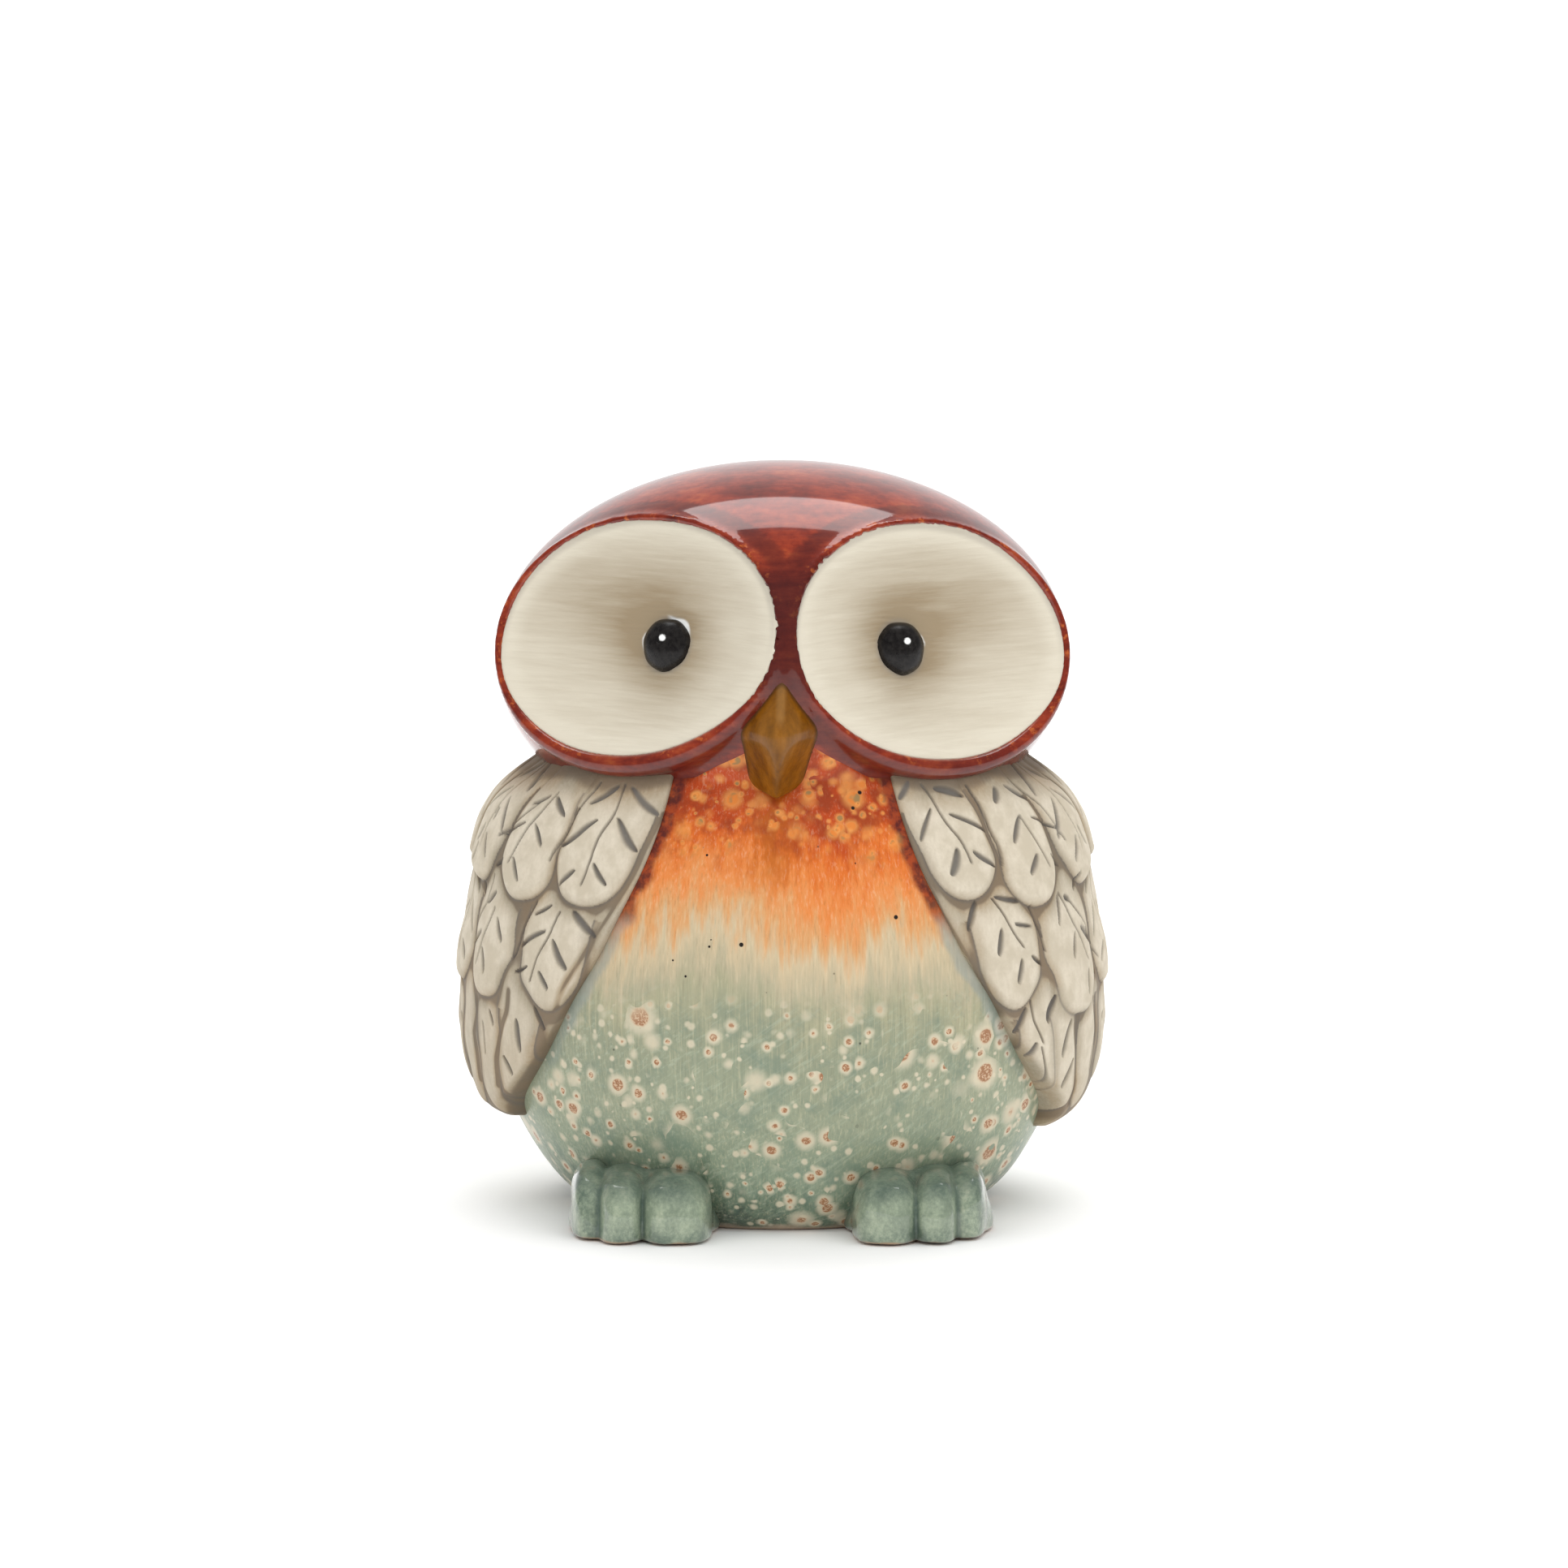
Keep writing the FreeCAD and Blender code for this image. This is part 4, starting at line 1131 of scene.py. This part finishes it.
def paint_edge(angle, side):
    """How far a brush-painted border strays from the plate's ellipse."""
    phase = 0.7 if side == "left" else 2.9
    waves = ((2, 0.28), (3, 0.30), (5, 0.20), (8, 0.08))
    return sum(size * np.sin(n * angle + phase * n) for n, size in waves)


def dish(u, v, side):
    """Depth of the dish below the plate's plane."""
    a, b = EYES[side]["size"]
    return DISH_DEPTH * np.clip(1 - (u / a) ** 2 - (v / b) ** 2, 0.0, 1)


def eye_bearing(u, v, side):
    """Angle round an eye's ellipse."""
    a, b = EYES[side]["size"]
    return np.arctan2(v / b, u / a)


def rim_ring(points, side):
    """The rolled rim round one eye: slim above, fuller below."""
    u, v, w, off = eye_local(points, side)
    angle = eye_bearing(u, v, side)
    below = np.clip(-np.sin(angle), 0, 1) ** 1.5
    beside = np.clip(np.cos(angle) * OUTWARD[side], 0, 1) ** 2
    thick = 0.6 + 1.9 * below + 0.6 * beside * (1 - below)
    return np.hypot(off - 0.7 * thick, w + 0.55 * thick) - thick


def head_skin(points):
    """The head's outer surface: an egg cut by the two eye flats, with a raised rim round each."""
    field = ellipsoid(points, HEAD, HEAD_RADII)
    for side in EYES:
        _, _, w, off = eye_local(points, side)
        field = smooth_max(field, w + 0.4 - 0.9 * np.maximum(off, 0.0), 3.0)
    for side in EYES:
        field = smooth_min(field, rim_ring(points, side), 1.6)
    return field


def head_field(points):
    """The head with wells for the eyes' dishes, its hollow, its neck and the coin slot."""
    field = head_skin(points)
    hollow = ellipsoid(points, HEAD, HEAD_RADII - WALL)
    for side in EYES:
        u, v, w, off = eye_local(points, side)
        rim = off - paint_edge(eye_bearing(u, v, side), side)
        well = smooth_max(rim, -(w + dish(u, v, side) + 1.2), 0.3)
        field = smooth_max(field, -well, 0.9)
        hollow = np.maximum(hollow, w + 8.5)
    round_axis = np.hypot(points[..., 0], points[..., 1] - AXIS_Y)
    neck = np.maximum(round_axis - NECK_RADIUS, points[..., 2] - 100.0)
    field = smooth_max(field, -hollow, 0.8)
    field = smooth_max(field, -neck, 1.0)
    reach = (SLOT["length"] - SLOT["width"]) / 2
    along = np.maximum(np.abs(points[..., 0]) - reach, 0.0)
    slot = np.hypot(along, points[..., 2] - SLOT["z"]) - SLOT["width"] / 2
    slot = np.maximum(slot, 30.0 - points[..., 1])
    return smooth_max(field, -slot, 1.6)


def build_head(material):
    low, high = HEAD - HEAD_RADII - 2.5, HEAD + HEAD_RADII + 2.5
    points, faces = surface_net(head_field, low, high, 0.95)
    _, y, z = points.T
    skin = np.abs(ellipsoid(points, HEAD, HEAD_RADII - WALL))
    inside = ellipsoid(points, HEAD, HEAD_RADII) < -2.2
    crest, hollow = np.zeros(len(points)), np.zeros(len(points))
    apart = np.full(len(points), -np.inf)
    for side in EYES:
        _, _, w, off = eye_local(points, side)
        near = w > -4.0
        crest = np.maximum(crest, near * smooth_step(1.6, 0.4, np.abs(off - 0.8)))
        # hollow marks painted shade next to each eye plate and in the groove outside its rim.
        hollow = np.maximum(hollow, near * smooth_step(-0.2, -0.9, off))
        hollow = np.maximum(hollow, near * smooth_step(1.6, 3.0, off) * smooth_step(8.5, 4.0, off) * 0.6)
        inside &= ~(near & (off < 6))
        apart = np.maximum(apart, off)
    # More painted shade between the eyes and under the head's lower front edge.
    bridge = smooth_step(14.0, 5.0, apart) * (y < -20) * smooth_step(146.0, 138.0, z)
    hollow = np.maximum(hollow, 0.85 * bridge)
    low_edge = smooth_step(104.0, 97.0, z) * (y < 0)
    hollow = np.clip(np.maximum(hollow, 0.55 * low_edge), 0, 1)
    fields = {"crest": crest, "hollow": hollow, "bisque": (inside | (skin < 0.4)).astype(float)}
    return make_piece("head", points, faces, material, "bank", ["head_shell"], fields)


def polar_grid(rings, columns):
    """Fractions outward and angles of a disc's points; the middle point comes first."""
    out = np.repeat(np.linspace(0, 1, rings + 1)[1:], columns)
    angle = np.tile(np.linspace(0, 2 * math.pi, columns, endpoint=False), rings)
    return np.concatenate([[0.0], out]), np.concatenate([[0.0], angle])


def disc_faces(rings, columns):
    """Faces of a polar grid, then of a skirt round its edge and a fan to a middle point behind."""
    faces = [(0, 1 + j, 1 + (j + 1) % columns) for j in range(columns)]
    faces += [tuple(1 + q for q in face) for face in ring_faces(rings, columns)]
    skirt = 1 + rings * columns
    for j in range(columns):
        k = (j + 1) % columns
        faces.append((skirt - columns + j, skirt + j, skirt + k, skirt - columns + k))
        faces.append((skirt + columns, skirt + k, skirt + j))
    return faces


def build_eye(side, material):
    centre, long, short, out = eye_axes(side)
    a, b = EYES[side]["size"]
    inward = -OUTWARD[side]
    rings, columns = 120, 360
    frac, angle = polar_grid(rings, columns)
    stray = paint_edge(angle, side)
    grow = 1.0 + (stray + 1.0) / a * frac**4
    u, v = a * frac * np.cos(angle) * grow, b * frac * np.sin(angle) * grow
    off = ellipse(u, v, a, b)
    w = -dish(u, v, side) - 0.9 * smooth_step(0.0, 1.0, off - stray)
    w = w + 0.05 * np.sin(v * 5.1 + 1.5 * np.sin(u * 0.21)) * (0.5 + 0.5 * np.sin(u * 0.33 + v))
    du, dv = u - inward * PUPIL["inset"], v + PUPIL["drop"]
    apart = np.hypot(du, dv)
    wash = 0.60 * np.exp(-((np.maximum(apart - 5.0, 0) / 8.5) ** 2))
    wash += 0.42 * np.exp(-(((u + inward * 8.0) / 17.0) ** 2) - (((v - 9.0) / 8.5) ** 2))
    wash += 0.26 * np.exp(-(((u + inward * 3.0) / 22.0) ** 2) - ((v / 14.0) ** 2))
    wash += 0.11 + 0.12 * smooth_step(-6.0, 18.0, v)
    wash *= smooth_step(0.5, 6.0, -off)
    under_rim = smooth_step(1.6, 0.2, -off) * smooth_step(-0.3, 0.5, v / b)
    shade = 0.55 * smooth_step(7.0, 5.4, apart) + 0.45 * under_rim
    chip = np.clip(bare_slivers(apart, np.arctan2(dv, du * inward), side), 0, 1)
    points = centre + u[:, None] * long + v[:, None] * short + w[:, None] * out
    skirt = points[-columns:] - 2.4 * out
    everything = np.concatenate([points, skirt, [skirt.mean(axis=0) - 2.4 * out]])
    rest = np.zeros(columns + 1)
    paints = {"wash": wash, "chip": chip, "shade": np.clip(shade, 0, 1) * (1 - chip)}
    fields = {name: np.concatenate([values, rest]) for name, values in paints.items()}
    faces = disc_faces(rings, columns)
    name, node = f"{side}_eye", f"{side}_eye_disc"
    return make_piece(name, everything, faces, material, "bank", [node], fields)


def bare_slivers(apart, bearing, side):
    """Where the black of a pupil stops short and leaves slivers of the white undercoat."""
    sliver = smooth_step(6.6, 6.1, apart + 0.35 * np.sin(bearing * 6))
    if side == "right":
        return 0.7 * sliver * smooth_step(0.95, 0.99, np.cos(bearing - 2.75))
    broad = smooth_step(0.72, 0.92, np.cos(bearing - 0.95))
    return sliver * np.maximum(broad, 0.8 * smooth_step(0.93, 0.98, np.cos(bearing - 3.0)))


def build_pupil(side, material):
    centre, long, short, out = eye_axes(side)
    inward = -OUTWARD[side]
    rings, columns = 40, 72
    frac, angle = polar_grid(rings, columns)
    bend = frac * math.pi / 2
    ripple = 1 + 0.02 * np.sin(3 * angle + inward) + 0.012 * np.sin(7 * angle)
    u = PUPIL["half_long"] * np.sin(bend) * np.cos(angle) * ripple
    v = PUPIL["half_short"] * np.sin(bend) * np.sin(angle) * ripple
    w = np.cos(bend) ** 0.9 * PUPIL["rise"]
    seat_u, seat_v = inward * PUPIL["inset"], -PUPIL["drop"]
    seat_w = -dish(seat_u, seat_v, side) - PUPIL["sunk"]
    middle = centre + seat_u * long + seat_v * short + seat_w * out
    points = middle + u[:, None] * long + v[:, None] * short + w[:, None] * out
    # A painted dot stands for the studio's highlight, where the photo's camera sees it.
    toward = np.array([0.0, -math.cos(CAMERA_RISE), math.sin(CAMERA_RISE)])
    glint = middle + PUPIL["rise"] * toward + np.array([-1.3 if side == "left" else 1.8, 0, 1.6])
    dot = smooth_step(0.78, 0.58, np.linalg.norm(np.cross(points - glint, toward), axis=1))
    everything = np.concatenate([points, points[-columns:] - 0.8 * out, [middle - 0.8 * out]])
    fields = {"dot": np.concatenate([dot, np.zeros(columns + 1)])}
    faces = disc_faces(rings, columns)
    name, node = f"{side}_pupil_bead", f"{side}_pupil"
    return make_piece(name, everything, faces, material, "bank", [node], fields)


# ---------------------------------------------------------------- beak, feet, stopper

BEAK = {
    "top": (0.0, -43.4, 122.6),
    "side": (8.9, -43.8, 108.8),
    "nose": (0.0, -56.0, 107.6),
    "tip": (0.0, -46.0, 94.4),
    "flat": -53.2,
    "back": -39.0,
    "lean": 0.045,
}


def beak_side(points):
    """Distance sideways from the beak's ridge, which leans a little as it goes down."""
    return points[..., 0] + BEAK["lean"] * (120.0 - points[..., 2])


def beak_field(points):
    """A four-sided point with soft edges; its planes pass through the named corners."""
    mirrored = points.copy()
    mirrored[..., 0] = np.abs(beak_side(points))
    top, corner, nose, tip = (np.array(BEAK[k]) for k in ("top", "side", "nose", "tip"))
    planes = []
    for one in (top, tip):
        normal = np.cross(corner - one, nose - one)
        normal *= np.sign(normal[0]) / np.linalg.norm(normal)
        planes.append((mirrored - one) @ normal)
    field = smooth_max(planes[0], planes[1], 2.0)
    field = smooth_max(field, BEAK["flat"] - points[..., 1], 2.5)
    field = smooth_max(field, 93.6 + 0.3 * (points[..., 1] + 46.0) - points[..., 2], 1.0)
    return smooth_max(field, points[..., 1] - BEAK["back"], 1.0)


def rounded_beak(points):
    """The beak with its ridge rounded by averaging a few nearby samples."""
    offsets = ((0, 0, 0), (0.7, 0, 0), (-0.7, 0, 0), (0, 0, 0.7), (0, 0, -0.7), (1.3, 0, 0), (-1.3, 0, 0))
    return sum(beak_field(points + np.array(offset, float)) for offset in offsets) / len(offsets) - 0.15


def build_beak(material):
    points, faces = surface_net(rounded_beak, (-11.5, -58, 90), (11.5, -37.5, 127), 0.42)
    x, z = np.abs(beak_side(points)), points[:, 2]
    # ridge is a painted highlight along the upper ridge and on the front facet.
    ridge = smooth_step(1.4, 0.3, x) * smooth_step(110, 113, z) * smooth_step(121, 118, z)
    reach = np.interp(z, [97.5, 108.5, 111.0, 119.0], [0.0, 4.6, 4.4, 0.6])
    painted_facet_light = smooth_step(0.5, -0.5, x - reach) * smooth_step(97.0, 99.0, z)
    painted_facet_light *= 0.40 - 0.20 * smooth_step(108.0, 114.0, z) - 0.15 * smooth_step(1.0, 0.0, x) * (z < 110)
    # foot is painted shade where the beak meets the head.
    skin = head_skin(points)
    fields = {"ridge": np.clip(ridge + painted_facet_light, 0, 1), "foot": smooth_step(1.1, 0.1, skin)}
    return make_piece("beak_keel", points, faces, material, "bank", ["beak"], fields)


def toe_field(points, x, y, rx, ry):
    """A plump toe, fuller than an ellipsoid at its sides and front."""
    local = (points - np.array([x, y, 4.0])) / np.array([rx, ry, 10.4])
    size = (np.abs(local) ** 2.8).sum(axis=-1) ** (1 / 2.8)
    return (size - 1.0) * rx * 1.15


def toe_fields(points, side):
    return [toe_field(points, OUTWARD[side] * x, y, rx, ry) for x, y, rx, ry in TOES[side]]


def foot_field(points, side):
    """Three toes with a web between them and the belly, and a flat sole."""
    first, *others = toe_fields(points, side)
    for toe in others:
        first = smooth_min(first, toe, 0.7)
    web = ellipsoid(points, np.array([OUTWARD[side] * 29.0, -35.5, 2.0]), np.array([16.0, 12.5, 12.2]))
    foot = smooth_min(first, web, 1.4)
    return smooth_max(foot, 0.25 - points[..., 2], 1.2) + 0.08 * wobble(points, 9.0)


def build_foot(side, material):
    middle = OUTWARD[side] * 30.0
    low, high = (middle - 20, -58.5, -0.6), (middle + 20, -20, 17)
    points, faces = surface_net(lambda place: foot_field(place, side), low, high, 0.5)
    x, y, z = points.T
    nearest, second, _ = np.sort(np.array(toe_fields(points, side)), axis=0)
    # hollow is painted shade: between the toes, where the foot meets the belly, and higher up under the
    # belly's overhang.
    hollow = smooth_step(1.3, 0.2, second - nearest) * smooth_step(3.0, 0.6, nearest)
    body = np.hypot(x / half_width(z), (y - AXIS_Y) / half_depth(z))
    hollow = np.maximum(hollow, smooth_step(1.07, 1.0, body) * 0.9)
    hollow = np.clip(np.maximum(hollow, 0.75 * smooth_step(8.0, 12.5, z)), 0, 1)
    fields = {
        "hollow": hollow,
        # Painted light on the lower fronts of the toes.
        "lit_toe_fronts": smooth_step(-47.0, -54.5, y) * smooth_step(1.5, 5.0, z) * (1 - hollow),
        "bisque": smooth_step(0.9, 0.35, z + 0.2 * wobble(points, 5.0)),
    }
    name, node = f"{side}_foot_toes", f"{side}_foot"
    return make_piece(name, points, faces, material, "bank", [node], fields)


STOPPER = {"flange": 19.0, "cup": 11.5, "cup_top": 8.6, "bar": 3.0, "groove": 15.6, "taper_from": 8.4}


def stopper_field(points):
    """A flanged plug with a tapered lip, a cup in its underside, and a bar across the cup to pull."""
    out = np.hypot(points[..., 0], points[..., 1] - AXIS_Y)
    z = points[..., 2]
    flange = smooth_max(out - STOPPER["flange"], np.abs(z - 1.95) - 0.95, 0.8)
    past = z - STOPPER["taper_from"]
    stem_radius = HOLE_RADIUS - 0.05
    taper = np.where(past > 0, stem_radius - past * 0.52, stem_radius)
    stem = smooth_max(out - taper, np.abs(z - 6.5) - 4.5, 0.8)
    solid = smooth_min(flange, stem, 0.3)
    cup = smooth_max(out - STOPPER["cup"], z - STOPPER["cup_top"], 1.2)
    solid = smooth_max(solid, -cup, 0.6)
    bar = smooth_max(np.abs(points[..., 0]) - STOPPER["bar"] / 2, np.abs(z - 5.2) - 3.8, 0.9)
    bar = np.maximum(bar, out - STOPPER["cup"] - 0.5)
    groove = np.hypot(out - STOPPER["groove"], z - 1.0) - 0.55
    return smooth_max(smooth_min(solid, bar, 0.9), -groove, 0.4)


def build_stopper(material):
    points, faces = surface_net(stopper_field, (-20.5, -18.5, 0), (20.5, 22.5, 12.2), 0.5)
    name, node = "stopper_plug", "base_stopper"
    return make_piece(name, points, faces, material, "stopper", [node])


# ---------------------------------------------------------------- stage


def aimed(name, data, place, aim):
    """A light or camera in metres at place, looking at aim."""
    thing = bpy.data.objects.new(name, data)
    thing.location = place
    thing.rotation_euler = (Vector(aim) - Vector(place)).to_track_quat("-Z", "Y").to_euler()
    bpy.context.scene.collection.objects.link(thing)
    return thing


def area_light(name, place, aim, size, watts, glossy=True):
    light = bpy.data.lights.new(name, "AREA")
    light.shape = "RECTANGLE"
    light.size, light.size_y = size
    light.energy = watts
    aimed(name, light, place, aim).visible_glossy = glossy


def sun_light(name, direction, strength):
    """A broad soft light from one direction that leaves no reflection of its own."""
    light = bpy.data.lights.new(name, "SUN")
    light.energy = strength
    light.angle = math.radians(75.0)
    aimed(name, light, direction, (0, 0, 0)).visible_glossy = False


def build_floor():
    mesh = bpy.data.meshes.new("floor")
    half = 9
    corners = [(-half, -half, 0), (half, -half, 0), (half, half, 0), (-half, half, 0)]
    mesh.from_pydata(corners, [], [(0, 1, 2, 3)])
    mesh.materials.append(floor_paper())
    floor = bpy.data.objects.new("floor", mesh)
    bpy.context.scene.collection.objects.link(floor)


def build_world():
    """White surroundings, bright behind the owl and dim in front of it."""
    world = bpy.data.worlds.new("studio")
    world.use_nodes = True
    nodes, links = world.node_tree.nodes, world.node_tree.links
    direction = nodes.new("ShaderNodeTexCoord")
    split = nodes.new("ShaderNodeSeparateXYZ")
    links.new(direction.outputs["Generated"], split.inputs[0])
    fade = nodes.new("ShaderNodeMapRange")
    fade.interpolation_type = "SMOOTHSTEP"
    for name, number in (("From Min", 0.42), ("From Max", 0.96), ("To Min", 0.21), ("To Max", 1.00)):
        fade.inputs[name].default_value = number
    links.new(split.outputs["Y"], fade.inputs["Value"])
    background = nodes["Background"]
    background.inputs["Color"].default_value = (1.0, 1.0, 1.0, 1.0)
    links.new(fade.outputs["Result"], background.inputs["Strength"])
    bpy.context.scene.world = world


def build_lights():
    area_light("overhead", (0.02, 0.38, 1.12), (0.02, 0.38, 0.0), (0.95, 0.50), 5.6)
    area_light("backdrop", (0.0, 2.6, 1.7), (0.0, 2.6, 0.0), (5.0, 3.0), 58.0, glossy=False)
    sun_light("left", (-0.85, -0.75, 1.20), 1.08)
    sun_light("right", (0.90, -0.70, 1.20), 1.50)
    sun_light("front", (0.0, -1.0, 0.45), 0.46)


def build_camera():
    """A long lens a little above the owl's middle, as tall and wide as the studio shot."""
    distance, view_width = 2.6, 0.336
    aim = (0.00043, 0.0, 0.0901)
    camera = bpy.data.cameras.new("camera")
    camera.sensor_width = 36.0
    camera.lens = camera.sensor_width * distance / view_width
    place = (aim[0], -distance * math.cos(CAMERA_RISE), aim[2] + distance * math.sin(CAMERA_RISE))
    bpy.context.scene.camera = aimed("camera", camera, place, aim)


# ---------------------------------------------------------------- assembly

paints = {"wing": wing_paint(), "eye": eye_paint(), "pupil": pupil_paint(), "foot": foot_glaze()}
build_torso(belly_glaze())
build_head(head_glaze())
build_beak(beak_glaze())
build_stopper(stopper_rubber())
for side in EYES:
    build_eye(side, paints["eye"])
    build_pupil(side, paints["pupil"])
    build_wing(side, paints["wing"])
    build_foot(side, paints["foot"])
build_floor()
build_world()
build_lights()
build_camera()
bpy.context.scene.view_settings.view_transform = "Standard"
